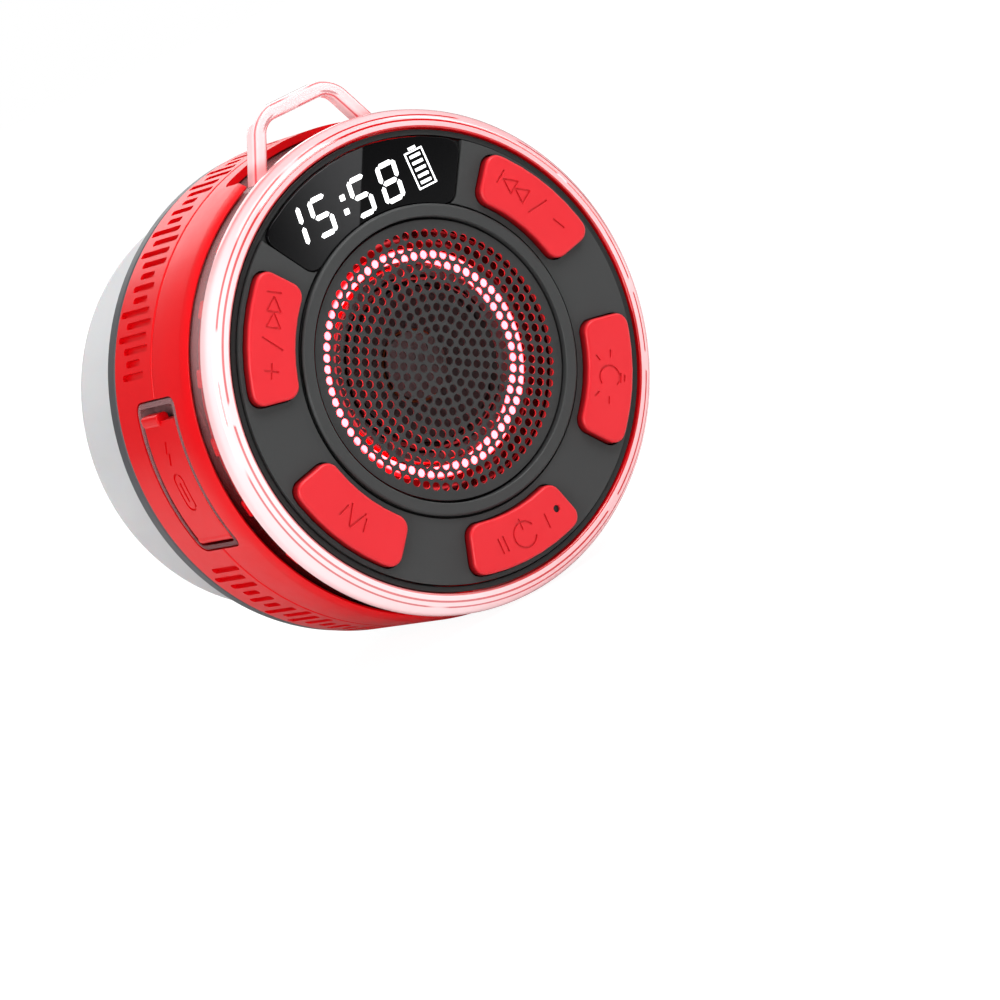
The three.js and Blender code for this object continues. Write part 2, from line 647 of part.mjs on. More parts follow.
// ---------------------------------------------------------------- loudspeaker driver
const frameThickness = 1.0;
const frameBack = driverFront + 8.4;
const topPlateFront = frameBack + 0.3;
const topPlateBack = topPlateFront + 2.0;
const magnetBack = topPlateBack + 0.2 + 4.5;
const poleRadius = coilRadius - coilWall - 0.6;
const gapRadius = coilRadius + 0.5;
const coneOuter = driverRadius - 3.6;
add('driver_frame', turned([
  [driverRadius - 1.6, driverFront], [driverRadius, driverFront], [driverRadius, driverFront + 1.2],
  [driverRadius - 1.2, driverFront + 1.2], [driverRadius - 3.4, frameBack], [gapRadius + 0.5, frameBack],
  [gapRadius + 0.5, frameBack - frameThickness], [driverRadius - 4.3, frameBack - frameThickness],
  [driverRadius - 2.1, driverFront + 1.0],
], smallSteps), steel);
const topPlateRadius = driverRadius - 5;
add('driver_top_plate', turned([
  [gapRadius, topPlateFront], [topPlateRadius, topPlateFront],
  [topPlateRadius, topPlateBack], [gapRadius, topPlateBack],
], smallSteps), steel);
const magnetFront = topPlateBack + 0.2;
const magnetRadius = driverRadius - 4;
add('driver_magnet', turned([
  [gapRadius + 1, magnetFront], [magnetRadius, magnetFront],
  [magnetRadius, magnetBack], [gapRadius + 1, magnetBack],
], smallSteps), ferrite);
const yokeRadius = driverRadius - 4.7;
const yokeFront = magnetBack + 0.2;
add('driver_yoke', turned([
  [0, topPlateFront], [poleRadius, topPlateFront], [poleRadius, yokeFront],
  [yokeRadius, yokeFront], [yokeRadius, driverBack], [0, driverBack],
], smallSteps), steel);
const spiderOuter = driverRadius - 4.9;
const spiderFront = frameBack - 2.6;
add('driver_spider', turned([
  [coilRadius + 0.4, spiderFront], [spiderOuter, spiderFront],
  [spiderOuter, spiderFront + 0.6], [coilRadius + 0.4, spiderFront + 0.6],
], smallSteps), cloth);
add('driver_surround', turned([
  [coneOuter + coneGap, driverFront + 0.2], [coneOuter + coneGap + 0.7, driverFront - 0.6],
  [driverRadius - 2.1, driverFront - 0.1], [driverRadius - 2.1, driverFront + 0.5],
  [coneOuter + coneGap + 0.8, driverFront], [coneOuter + coneGap, driverFront + 0.7],
], smallSteps), blackRubber);
const coneBack = driverFront + 3.6;
add('driver_cone', turned([
  [coneOuter, driverFront + 0.2], [coneOuter, driverFront + 0.7], [coilRadius + 1.2, coneBack],
  [coilRadius + 0.1, coneBack], [coilRadius + 0.1, coneBack - 0.5], [coilRadius + 1.0, coneBack - 0.5],
], smallSteps), paper);
const capRadius = coilRadius - 0.5;
add('dust_cap', turned([
  [0, driverFront + 0.5], [3.4, driverFront + 0.9], [capRadius, driverFront + 2.2],
  [capRadius, driverFront + 2.7], [3.2, driverFront + 1.4], [0, driverFront + 1.0],
], smallSteps), paper);
add('voice_coil', turned([
  [coilRadius - coilWall, coneBack - 0.6], [coilRadius, coneBack - 0.6], [coilRadius, topPlateBack + 2],
  [coilRadius - coilWall, topPlateBack + 2],
], smallSteps), copper);

// ---------------------------------------------------------------- main board, charging socket, battery
const mainBoardFront = Math.max(portDepth + socketHeight / 2 + 0.1, driverBack + 0.4);
const mainBoardBack = mainBoardFront + 1.2;
const socketMouth = portFloorX + 0.1;
const mainBoardOutline = circle(shellInner - 0.8, bigSteps);
const linerRoom = sidePrism(-portHalfLength - 1, portHalfLength + 1, portHalfWidth + 1, 1, outside,
  portFloorX + linerFloor + 0.6);
add('main_board', plate(mainBoardOutline, mainBoardFront, mainBoardBack).subtract(linerRoom), boardGreen);

const socketEnd = socketMouth + socketLength;
const socketBody = (inset, xLow, xHigh) => sidePrism(-socketWidth / 2 + inset, socketWidth / 2 - inset,
  socketHeight / 2 - inset, 1.3 - inset, xLow, xHigh);
const tongueHalfLength = 3.3;
const tongue = sidePrism(-tongueHalfLength, tongueHalfLength, 0.35, 0.2, socketMouth + 0.6, socketEnd - 0.5);
const usbSocket = socketBody(0, socketMouth, socketEnd)
  .subtract(socketBody(socketWall, socketMouth - 1, socketEnd - 1.2))
  .add(tongue);
add('usb_socket', usbSocket, steel);

const batteryFront = mainBoardBack + 0.4;
const batteryBack = Math.min(batteryFront + batteryThickness, caseDepth - shellWall - 0.4);
const batteryCentre = new THREE.Vector2(0, -socketFlange - 1.2 - batteryHeight / 2);
add('battery', block(batteryLength, batteryHeight, batteryFront, batteryBack, batteryCentre, 2), foilBlue);

export default speaker;
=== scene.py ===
# Round shower speaker with a clock display, a light ring, five keys and a suction cup.
# Metres, +Z up, the speaker faces -Y. Sizes below are millimetres, and a depth is counted from
# the front of the clear rim towards the wall.
import math

import bmesh
import bpy
from mathutils import Matrix, Vector


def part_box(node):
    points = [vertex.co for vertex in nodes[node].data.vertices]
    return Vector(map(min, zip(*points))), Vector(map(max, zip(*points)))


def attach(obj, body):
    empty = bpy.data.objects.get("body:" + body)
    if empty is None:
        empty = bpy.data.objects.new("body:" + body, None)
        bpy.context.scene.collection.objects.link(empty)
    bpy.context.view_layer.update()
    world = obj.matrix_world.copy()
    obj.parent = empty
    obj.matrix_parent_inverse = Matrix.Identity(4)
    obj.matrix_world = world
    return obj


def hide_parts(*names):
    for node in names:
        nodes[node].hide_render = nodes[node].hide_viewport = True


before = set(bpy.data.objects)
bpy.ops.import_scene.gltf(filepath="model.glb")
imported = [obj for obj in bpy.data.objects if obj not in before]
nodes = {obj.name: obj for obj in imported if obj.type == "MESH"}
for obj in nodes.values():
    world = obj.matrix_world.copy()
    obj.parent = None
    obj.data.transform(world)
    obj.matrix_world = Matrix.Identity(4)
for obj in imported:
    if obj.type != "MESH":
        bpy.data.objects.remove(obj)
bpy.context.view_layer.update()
MM = 0.001
face_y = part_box("clear_shell")[0].y


# ---- Studio: a pale floor under the speaker, white surroundings, soft lights and the camera.
# The surroundings are dimmer in front of the face, so that the display stays black.
class Value:
    """A socket that shader sums read as a number: each operator adds one Math node."""

    def __init__(self, finish, socket):
        self.finish = finish
        self.socket = socket

    def math(self, operation, *terms):
        """Adds a Math node that works on these terms."""
        return self.finish.node("Math", {"operation": operation}, dict(enumerate(terms)))

    def __add__(self, other):
        return self.math("ADD", self, other)

    def __sub__(self, other):
        return self.math("SUBTRACT", self, other)

    def __rsub__(self, other):
        return self.math("SUBTRACT", other, self)

    def __mul__(self, other):
        return self.math("MULTIPLY", self, other)

    def __pow__(self, other):
        return self.math("POWER", self, other)

    def __abs__(self):
        return self.math("ABSOLUTE", self)

    __radd__ = __add__
    __rmul__ = __mul__


class Finish:
    """A material or the surroundings, being made."""

    def __init__(self, owner):
        owner.use_nodes = True
        self.owner = owner
        self.tree = owner.node_tree
        self.tree.nodes.clear()

    def node(self, kind, settings=None, inputs=None, output=0):
        """Adds any node and gives one of its outputs. The settings are made first."""
        made = self.tree.nodes.new("ShaderNode" + kind)
        for name, value in (settings or {}).items():
            setattr(made, name, value)
        for name, value in (inputs or {}).items():
            if isinstance(value, Value):
                self.tree.links.new(value.socket, made.inputs[name])
            else:
                made.inputs[name].default_value = value
        return Value(self, made.outputs[output])

    def place(self):
        """Place on the piece, in metres."""
        return self.node("TexCoord", output="Object")

    def axes(self, source=None):
        """The three numbers of a place: across, along and up."""
        split = self.node("SeparateXYZ", inputs={"Vector": source or self.place()})
        return [Value(self, output) for output in split.socket.node.outputs]

    def noise(self, scale, detail=2.0, roughness=0.5):
        """Uneven pattern from 0 to 1, with about as many spots to the metre as the scale."""
        inputs = {"Vector": self.place(), "Scale": scale, "Detail": detail,
                  "Roughness": roughness}
        return self.node("TexNoise", inputs=inputs)

    def step(self, value, low, high):
        """0 below low, 1 above high, and smooth between them."""
        inputs = {"Value": value, "From Min": low, "From Max": high}
        return self.node("MapRange", {"interpolation_type": "SMOOTHSTEP"}, inputs)

    def blend(self, share, first, second):
        """Colour between first and second."""
        return self.node("Mix", {"data_type": "RGBA"}, {0: share, 6: first, 7: second}, 2)

    def bump(self, height, distance):
        """Relief of a height map, with the full height given in millimetres."""
        inputs = {"Height": height, "Distance": distance * MM, "Strength": 1.0}
        return self.node("Bump", inputs=inputs)

    def end(self, shader, kind="OutputMaterial"):
        """Links the shader to the output and gives the finished material or surroundings."""
        last = self.tree.nodes.new("ShaderNode" + kind)
        self.tree.links.new(shader.socket, last.inputs["Surface"])
        return self.owner

    def principled(self, **inputs):
        """Ends with a Principled shader. An underscore stands for a space in a socket's name."""
        named = {name.replace("_", " "): value for name, value in inputs.items()}
        if "IOR Level" in named:
            named["Specular IOR Level"] = named.pop("IOR Level")
        return self.end(self.node("BsdfPrincipled", inputs=named))


def tone(red, green, blue):
    """Linear colour of a display colour given from 0 to 255."""
    shares = [channel / 255 for channel in (red, green, blue)]
    return [s / 12.92 if s < 0.04045 else ((s + 0.055) / 1.055) ** 2.4 for s in shares] + [1.0]


def dimmed(colour, share):
    """The colour made darker, or lighter where the share is over 1."""
    return [channel * share for channel in colour[:3]] + [1.0]


scene = bpy.context.scene
scene.view_settings.view_transform = "Standard"

camera = bpy.data.objects.new("camera", bpy.data.cameras.new("camera"))
camera.data.lens = 180.0
camera.data.sensor_width = 36.0
camera.data.clip_start = 0.01
# The camera looks down on the face from the front left, rolled to the right.
camera_right = Vector((0.764799, -0.498422, -0.408237))
camera_up = Vector((0.424149, -0.087437, 0.901362))
camera_back = camera_right.cross(camera_up)
camera.matrix_world = Matrix((camera_right, camera_up, camera_back)).transposed().to_4x4()
camera.location = (-0.426314, -0.822110, 0.099950)
scene.collection.objects.link(camera)
scene.camera = camera

world = bpy.data.worlds.new("studio")
scene.world = world
studio = Finish(world)
across, along, height = studio.axes(studio.node("TexCoord", output="Generated"))
facing = across * 0.487 - along * 0.861 - height * 0.145
overhead = studio.step(height, -0.2, 0.9)
shade = 1.0 - studio.step(facing, 0.55, 0.95) * 0.93
glow = (0.17 + overhead * 0.28) * shade
seen = studio.node("LightPath", output="Is Camera Ray")
lit = studio.node("Background", inputs={"Color": (1, 1, 1, 1), "Strength": glow})
white = studio.node("Background", inputs={"Color": (1, 1, 1, 1), "Strength": 1.0})
backdrop = studio.node("MixShader", inputs={0: seen, 1: lit, 2: white})
studio.end(backdrop, "OutputWorld")


def lamp(name, place, target, width, height, power):
    """Adds a soft rectangular lamp that faces a target."""
    data = bpy.data.lights.new(name, "AREA")
    data.shape = "RECTANGLE"
    data.size = width
    data.size_y = height
    data.energy = power
    made = bpy.data.objects.new(name, data)
    made.location = place
    made.rotation_euler = (Vector(target) - Vector(place)).to_track_quat("-Z", "Y").to_euler()
    scene.collection.objects.link(made)


centre = (0.0, -0.035, 0.0)
lamp("left_softbox", (-0.70, -0.45, 0.15), centre, 0.35, 0.6, 4.4)
lamp("top_softbox", (0.05, -0.35, 0.80), centre, 0.6, 0.4, 2.6)
lamp("front_softbox", (0.25, -0.70, 0.70), centre, 0.4, 0.4, 4.6)
lamp("right_strip", (0.60, -0.25, 0.25), centre, 0.15, 0.6, 1.0)
lamp("back_fill", (0.25, 0.75, 0.45), centre, 0.6, 0.6, 2.6)

FLOOR_RADIUS = 3.0
FLOOR_GAP = 0.0001
floor_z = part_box("rear_shell")[0].z - FLOOR_GAP
floor_mesh = bmesh.new()
bmesh.ops.create_circle(floor_mesh, cap_ends=True, segments=64, radius=FLOOR_RADIUS,
                        matrix=Matrix.Translation((0, 0, floor_z)))
floor_data = bpy.data.meshes.new("floor")
floor_mesh.to_mesh(floor_data)
floor_mesh.free()
floor = bpy.data.objects.new("floor", floor_data)
scene.collection.objects.link(floor)
paint = Finish(bpy.data.materials.new("floor_paint"))
cloudy = paint.blend(paint.noise(3.0, 4.0), tone(225, 225, 225), tone(232, 232, 232))
matt = paint.node("BsdfDiffuse", inputs={"Color": cloudy})
bright = paint.node("Emission", inputs={"Color": (1, 1, 1, 1), "Strength": 1.22})
seen = paint.node("LightPath", output="Is Camera Ray")
floor_data.materials.append(paint.end(paint.node("MixShader", inputs={
    0: seen * 0.78, 1: matt, 2: bright})))


# ---- Rear shell: red moulded plastic with a row of equaliser slots all the way round.
# It is one moulding, snapped to the front band behind a fine seam, and recessed for the port.
AXIS = Vector((0, 1, 0))
SMOOTH = 240


def at(depth):
    """Y of a depth in millimetres behind the front of the clear rim."""
    return face_y + depth * MM


def polar(radius, degrees, depth):
    """Point at a radius and an angle clockwise from the top, seen from the front."""
    angle = math.radians(degrees)
    return Vector((radius * MM * math.sin(angle), at(depth), radius * MM * math.cos(angle)))


def turned(profile, steps=160):
    """Solid of revolution about the speaker's axis, from a list of (radius, depth)."""
    mesh = bmesh.new()
    points = [mesh.verts.new((radius * MM, at(depth), 0)) for radius, depth in profile]
    pairs = list(zip(points, points[1:]))
    if profile[0][0] or profile[-1][0]:
        pairs.append((points[-1], points[0]))
    edges = [mesh.edges.new(pair) for pair in pairs]
    bmesh.ops.spin(mesh, geom=points + edges, cent=(0, 0, 0), axis=AXIS, angle=math.tau,
                   steps=steps, use_merge=True, use_duplicate=False)
    bmesh.ops.remove_doubles(mesh, verts=mesh.verts, dist=1e-6)
    bmesh.ops.recalc_face_normals(mesh, faces=mesh.faces)
    return mesh


def eased(mesh, width, segments=2, where=None, least=30, careful=True):
    """Rounds the sharp edges, or those of them that where() picks."""
    sharp = [edge for edge in mesh.edges if len(edge.link_faces) == 2
             and edge.calc_face_angle() > math.radians(least)
             and (where is None or where(edge))]
    bmesh.ops.bevel(mesh, geom=sharp, offset=width * MM, offset_type="OFFSET",
                    segments=segments, profile=0.5, affect="EDGES", material=-1,
                    clamp_overlap=careful)
    return mesh


def block(low, high, corner, along, segments=4):
    """Block between two corners in millimetres, with the edges along one axis rounded."""
    mesh = bmesh.new()
    low = Vector((low[0] * MM, at(low[1]), low[2] * MM))
    high = Vector((high[0] * MM, at(high[1]), high[2] * MM))
    bmesh.ops.create_cube(mesh, size=1.0)
    bmesh.ops.scale(mesh, vec=high - low, verts=mesh.verts)
    bmesh.ops.translate(mesh, vec=(low + high) / 2, verts=mesh.verts)

    def runs(edge):
        """Says whether an edge lies along the axis."""
        return abs((edge.verts[0].co - edge.verts[1].co).normalized()[along]) > 0.9
    return eased(mesh, corner, segments, runs)


def swung(mesh, degrees):
    """The mesh turned about the speaker's axis, clockwise seen from the front."""
    turn = Matrix.Rotation(math.radians(degrees), 3, AXIS)
    bmesh.ops.rotate(mesh, cent=(0, 0, 0), matrix=turn, verts=mesh.verts)
    return mesh


def joined(first, *others):
    """Several meshes as one."""
    for other in others:
        data = bpy.data.meshes.new("work")
        other.to_mesh(data)
        other.free()
        first.from_mesh(data)
        bpy.data.meshes.remove(data)
    return first


def carved(mesh, tool, operation="DIFFERENCE", overlapping=False):
    """The mesh with the tool's shape taken away, added or kept."""
    pair = []
    for source in (mesh, tool):
        data = bpy.data.meshes.new("work")
        source.to_mesh(data)
        source.free()
        pair.append(bpy.data.objects.new("work", data))
        scene.collection.objects.link(pair[-1])
    cut = pair[0].modifiers.new("cut", "BOOLEAN")
    cut.object = pair[1]
    cut.operation = operation
    cut.solver = "EXACT"
    cut.use_self = overlapping
    graph = bpy.context.evaluated_depsgraph_get()
    data = bpy.data.meshes.new_from_object(pair[0].evaluated_get(graph))
    result = bmesh.new()
    result.from_mesh(data)
    bpy.data.meshes.remove(data)
    for made in pair:
        bpy.data.meshes.remove(made.data)
    bmesh.ops.remove_doubles(result, verts=result.verts, dist=1e-6)
    bmesh.ops.dissolve_degenerate(result, edges=result.edges, dist=1e-7)
    return result


def piece(name, mesh, material, body, slot, *replaced):
    """Makes the finished mesh an object that moves with a body."""
    data = bpy.data.meshes.new(name)
    mesh.to_mesh(data)
    mesh.free()
    data.materials.append(material)
    data.shade_smooth()
    data.set_sharp_from_angle(angle=math.radians(40))
    made = bpy.data.objects.new(name, data)
    scene.collection.objects.link(made)
    even = made.modifiers.new("even_normals", "WEIGHTED_NORMAL")
    even.keep_sharp = True
    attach(made, body)
    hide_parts(*replaced)


def moulded(name, colour, roughness, grain=2400.0, depth=0.006, mottle=0.06, **more):
    """Moulded plastic or rubber: uneven tone, fine grain, and sheen that varies with handling."""
    spread = 0.12
    finish = Finish(bpy.data.materials.new(name))
    cloudy = finish.noise(70.0, 3.0)
    worn = finish.noise(420.0, 4.0, 0.6)
    fine = finish.noise(grain, 2.0)
    colour_now = finish.blend(cloudy, dimmed(colour, 1 - mottle), dimmed(colour, 1 + mottle))
    rough = worn * spread + (roughness - spread / 2)
    relief = finish.bump(fine * 0.7 + worn * 0.3, depth)
    return finish.principled(Base_Color=colour_now, Roughness=rough, Normal=relief, **more)


red_case = moulded("red_case", tone(222, 4, 15), 0.36, grain=3000.0, depth=0.004,
                   IOR_Level=0.2, Coat_Weight=0.06, Coat_Roughness=0.12)
CASE = 45.1
CASE_INSIDE = 43.3
SHELL_BACK = 37.7
SOCKET_HOLE = 6.3
SLOTS_EACH_WAY = 53
FIRST_SLOT_ABOVE_PORT = 294.8
FIRST_SLOT_BELOW_PORT = 245.4
SLOT_STEP = 2.934
SLOT_WIDTH = 1.25
SLOT_DEPTH = 0.9
SLOT_ENDS = [(25.7, 34.0), (27.1, 32.6), (24.2, 33.6), (25.0, 36.0), (23.7, 33.5), (25.3, 36.4),
             (27.2, 32.7)]
PORT_ANGLE = 270
PORT_DEPTH = 22.57
PORT_HALF_LENGTH = 14.45
PORT_HALF_WIDTH = 7.5
PORT_CORNER = 2.0
PORT_INSIDE = -36.0
PORT_OUTSIDE = -50.0


def port_block(half_length, half_width, corner, inner_x=PORT_INSIDE, outer_x=PORT_OUTSIDE):
    """Block with rounded corners, centred on the port on the left side of the case."""
    return block((outer_x, PORT_DEPTH - half_width, -half_length),
                 (inner_x, PORT_DEPTH + half_width, half_length), corner, 0)


def slot_cutter(degrees, number):
    """Cutter for one slot, with the ends that its place in the row of slots gives it."""
    front, back = SLOT_ENDS[number % len(SLOT_ENDS)]
    half = SLOT_WIDTH / 2
    mesh = block((-CASE - 1, front, -half), (-CASE + SLOT_DEPTH, back, half), half - 0.01, 0, 3)
    return swung(mesh, degrees - PORT_ANGLE)


slots = []
for number in range(SLOTS_EACH_WAY):
    slots.append(slot_cutter(FIRST_SLOT_ABOVE_PORT + number * SLOT_STEP, number))
    slots.append(slot_cutter(FIRST_SLOT_BELOW_PORT - number * SLOT_STEP, 4 - number))
shell = turned([(CASE_INSIDE, 22.6), (44.85, 22.6), (CASE, 22.85), (CASE, 37.2),
                (44.6, SHELL_BACK), (SOCKET_HOLE, SHELL_BACK), (SOCKET_HOLE, 35.9),
                (CASE_INSIDE, 35.9)], SMOOTH)
eased(shell, 0.2)
shell = carved(shell, joined(*slots))
shell = carved(shell, port_block(PORT_HALF_LENGTH, PORT_HALF_WIDTH, PORT_CORNER))
piece("rear_shell_moulding", shell, red_case, "housing", "red_plastic", "rear_shell")

# ---- Front band: the second red moulding, with a sloped front edge and a cut-out at the top
# that the hanging loop stands in. It is glued over the clear shell.
BAND_INSIDE = 43.75
BAND_FRONT = 9.9
SEAM = 22.4
NOTCH_HALF = 15.4
NOTCH_BACK = 18.0
band = turned([(BAND_INSIDE, 10.3), (44.2, BAND_FRONT), (CASE, 11.9), (CASE, 22.15),
               (44.85, SEAM), (BAND_INSIDE, SEAM)], SMOOTH)
eased(band, 0.18)
band = carved(band, block((-NOTCH_HALF, 5.0, 25.0), (NOTCH_HALF, NOTCH_BACK, 60.0), 1.6, 2))
band = carved(band, port_block(PORT_HALF_LENGTH, PORT_HALF_WIDTH, PORT_CORNER))
piece("front_band_moulding", band, red_case, "housing", "red_plastic", "front_band")

# ---- Back plate, brass snap socket, steel stud and suction cup.
# The soft grey plate is glued to the case. The cup's stud snaps into the socket and turns in it.
grey_rubber = moulded("grey_rubber", tone(74, 75, 78), 0.48, grain=1800.0, depth=0.02)
PLATE_FRONT = 38.0
PLATE_BACK = 41.4
back_plate = turned([(SOCKET_HOLE, PLATE_FRONT), (44.2, PLATE_FRONT), (44.8, 38.5),
                     (44.8, 40.8), (44.1, PLATE_BACK), (SOCKET_HOLE, PLATE_BACK)])
eased(back_plate, 0.25, 3)
piece("back_plate_ring", back_plate, grey_rubber, "housing", "grey_rubber", "back_plate")

CUP_FRONT = 41.7
CUP_BACK = 65.1
CUP_RADIUS = 38.7
HUB = 12.0
CUP_STEPS = 18
HOLLOW_FRONT = 48.7
LIP_INSIDE = 36.1
HEAD_RADIUS = 5.9
HEAD_FRONT = 42.6
HEAD_BACK = 45.4
NECK_RADIUS = 3.3


def dome(radius):
    """Depth of the cup's outside, which flares towards its lip."""
    rise = (radius - HUB) / (CUP_RADIUS - HUB)
    return CUP_FRONT + 3.0 + 19.6 * rise ** 2.2


outer = [HUB + (CUP_RADIUS - HUB) * step / CUP_STEPS for step in range(CUP_STEPS + 1)]
cup_profile = [(0, HEAD_BACK), (HEAD_RADIUS, HEAD_BACK), (HEAD_RADIUS, HEAD_FRONT),
               (NECK_RADIUS, HEAD_FRONT), (NECK_RADIUS, CUP_FRONT), (HUB - 1.0, CUP_FRONT),
               (HUB - 0.2, CUP_FRONT + 0.5)]
cup_profile += [(radius, dome(radius)) for radius in outer]
cup_profile += [(CUP_RADIUS, CUP_BACK), (LIP_INSIDE, CUP_BACK)]
cup_profile += [(radius - 1.92, max(dome(radius) + 1.44, HOLLOW_FRONT))
                for radius in outer[-2:0:-1]]
cup_profile += [(0, HOLLOW_FRONT)]
cup = turned(cup_profile)
eased(cup, 0.3, least=50)
finish = Finish(bpy.data.materials.new("cup_silicone"))
cloudy = finish.noise(60.0, 3.0)
smears = finish.noise(260.0, 5.0, 0.65)
cup_colour = finish.blend(cloudy, tone(188, 189, 191), tone(202, 203, 204))
cup_silicone = finish.principled(
    Base_Color=cup_colour, Roughness=smears * 0.18 + 0.22, Coat_Weight=0.3, Coat_Roughness=0.15,
    Normal=finish.bump(smears, 0.01), Subsurface_Weight=0.15, Subsurface_Scale=0.004)
piece("cup_moulding", cup, cup_silicone, "wall_cup", "pale_silicone", "suction_cup")


def metal(name, colour, roughness):
    """Turned or pressed metal with fine marks."""
    finish = Finish(bpy.data.materials.new(name))
    marks = finish.noise(3000.0, 3.0, 0.7)
    stain = finish.noise(240.0, 3.0)
    colour_now = finish.blend(stain, dimmed(colour, 0.85), colour)
    return finish.principled(Base_Color=colour_now, Metallic=1.0, Normal=finish.bump(marks, 0.004),
                             Roughness=marks * 0.15 + roughness)


def dress(name, material):
    """Gives a CAD node, whose shape is right, its finish."""
    nodes[name].data.materials.clear()
    nodes[name].data.materials.append(material)


bright_steel = metal("bright_steel", tone(196, 198, 202), 0.22)
dress("swivel_socket", metal("brass", tone(196, 160, 92), 0.25))
dress("swivel_stud", bright_steel)

# ---- Charging port: a smoked clear liner glued into the recess, a red rubbery door on a steel
# pin at its lower end, with a finger lip at the upper end, and the socket behind the door.
finish = Finish(bpy.data.materials.new("smoked_plastic"))
_, _, up = finish.axes()
# Painted light: the liner is painted pale pinkish grey towards the top as a painted reflection,
# and dark red towards the bottom as painted shade.
liner_painted_light_share = finish.step(up, -0.016, 0.014)
liner_painted_light_colour = finish.blend(liner_painted_light_share, tone(116, 10, 16), tone(166, 120, 122))
smears = finish.noise(500.0, 4.0, 0.6)
smoked_plastic = finish.principled(
    Base_Color=liner_painted_light_colour, Roughness=smears * 0.12 + 0.08, IOR=1.49, Alpha=0.62,
    Normal=finish.bump(smears, 0.004))


def tube(inner, outer, front, back, steps=160):
    """Plain ring between two radii and two depths."""
    return turned([(inner, front), (outer, front), (outer, back), (inner, back)], steps)


liner = port_block(14.15, 7.2, 1.7, -39.1)
liner = carved(liner, tube(20.0, 45.0, 5.0, 40.0, SMOOTH), "INTERSECT")
liner = carved(liner, port_block(13.25, 6.3, 0.8, -40.3))
liner = carved(liner, port_block(4.8, 1.95, 1.5))
eased(liner, 0.12, least=50)
piece("port_liner_frame", liner, smoked_plastic, "housing", "smoked_plastic", "port_liner")

DOOR_HALF_WIDTH = 5.95
DOOR_FRONT = PORT_DEPTH - DOOR_HALF_WIDTH
DOOR_BACK = PORT_DEPTH + DOOR_HALF_WIDTH
DOOR_TOP = 10.65
DOOR_INSIDE = 43.15
DOOR_OUTSIDE = 44.92
MARK_DEPTH = 0.3
HINGE = (-42.45, -11.95)
KNUCKLE_RADIUS = 0.95
BORE_RADIUS = 0.55


def pin_rod(radius, front, back):
    """Rod along the hinge's axis."""
    mesh = bmesh.new()
    place = Vector((HINGE[0] * MM, at((front + back) / 2), HINGE[1] * MM))
    matrix = Matrix.Translation(place) @ Matrix.Rotation(math.pi / 2, 4, "X")
    bmesh.ops.create_cone(mesh, cap_ends=True, segments=20, radius1=radius * MM,
                          radius2=radius * MM, depth=(back - front) * MM, matrix=matrix)
    return mesh


door = block((PORT_OUTSIDE, DOOR_FRONT, HINGE[1]), (PORT_INSIDE, DOOR_BACK, DOOR_TOP), 0.7, 0)
door = carved(door, tube(DOOR_INSIDE, DOOR_OUTSIDE, 8, 36, SMOOTH), "INTERSECT")
eased(door, 0.25, 3, least=50)


def mark(z_low, z_high, half_width, corner, lean=0.0):
    """Cutter for one shallow mark on the door."""
    mesh = block((-46, PORT_DEPTH - half_width, z_low), (-43.0, PORT_DEPTH + half_width, z_high),
                 corner, 0)
    middle = Vector((0, at(PORT_DEPTH), (z_low + z_high) / 2 * MM))
    bmesh.ops.rotate(mesh, cent=middle, matrix=Matrix.Rotation(math.radians(lean), 3, "X"),
                     verts=mesh.verts)
    return mesh


outline = carved(mark(-6.2, 1.2, 1.7, 1.5), mark(-5.75, 0.75, 1.25, 1.1))
marks = joined(outline, mark(-4.4, -0.6, 0.28, 0.25), mark(2.6, 5.0, 0.26, 0.1, 24),
               mark(4.7, 7.1, 0.26, 0.1, 24))
marks = carved(marks, tube(DOOR_OUTSIDE - MARK_DEPTH, 47, 8, 36, SMOOTH), "INTERSECT")
door = carved(door, marks)
door = carved(door, pin_rod(KNUCKLE_RADIUS, DOOR_FRONT, DOOR_BACK), "UNION")
door = carved(door, pin_rod(BORE_RADIUS, DOOR_FRONT - 1, DOOR_BACK + 1))
plug = port_block(4.05, 1.2, 1.1, -40.8, -44.0)
door = carved(door, plug, "UNION")
lip = block((-44.2, PORT_DEPTH - 0.6, 9.75), (-41.62, DOOR_BACK - 0.4, 11.95), 0.7, 1)
eased(lip, 0.3, 3, least=50)
door = carved(door, lip, "UNION")
piece("port_door_flap_moulding", door, red_case, "port_door_flap", "red_plastic", "port_door")
dress("port_hinge_pin", bright_steel)
dress("usb_socket", bright_steel)

# ---- Boards, switches, display module and microphone: bought-in parts on a ring-shaped board
# behind the face and on a round main board behind the driver, and the battery.
finish = Finish(bpy.data.materials.new("board_lacquer"))
tracks = finish.node("TexVoronoi", {"feature": "DISTANCE_TO_EDGE", "distance": "MANHATTAN"},
                     {"Vector": finish.place(), "Scale": 260.0})
track = 1.0 - finish.step(tracks, 0.02, 0.06)
board_colour = finish.blend(track, tone(12, 13, 14), tone(38, 42, 44))
dusty = finish.noise(900.0)
board_lacquer = finish.principled(Base_Color=board_colour, Roughness=dusty * 0.2 + 0.3,
                                  Normal=finish.bump(track, 0.02))
switch_black = moulded("switch_black", tone(26, 26, 27), 0.5)
for name in ("light_and_key_board", "main_board"):
    dress(name, board_lacquer)
for number in range(1, 6):
    dress(f"tact_switch_{number}", switch_black)
dress("microphone", bright_steel)
dress("display_module", moulded("display_case", tone(60, 60, 62), 0.5))
dress("battery", moulded("battery_film", tone(44, 72, 140), 0.3, grain=700.0, depth=0.02))

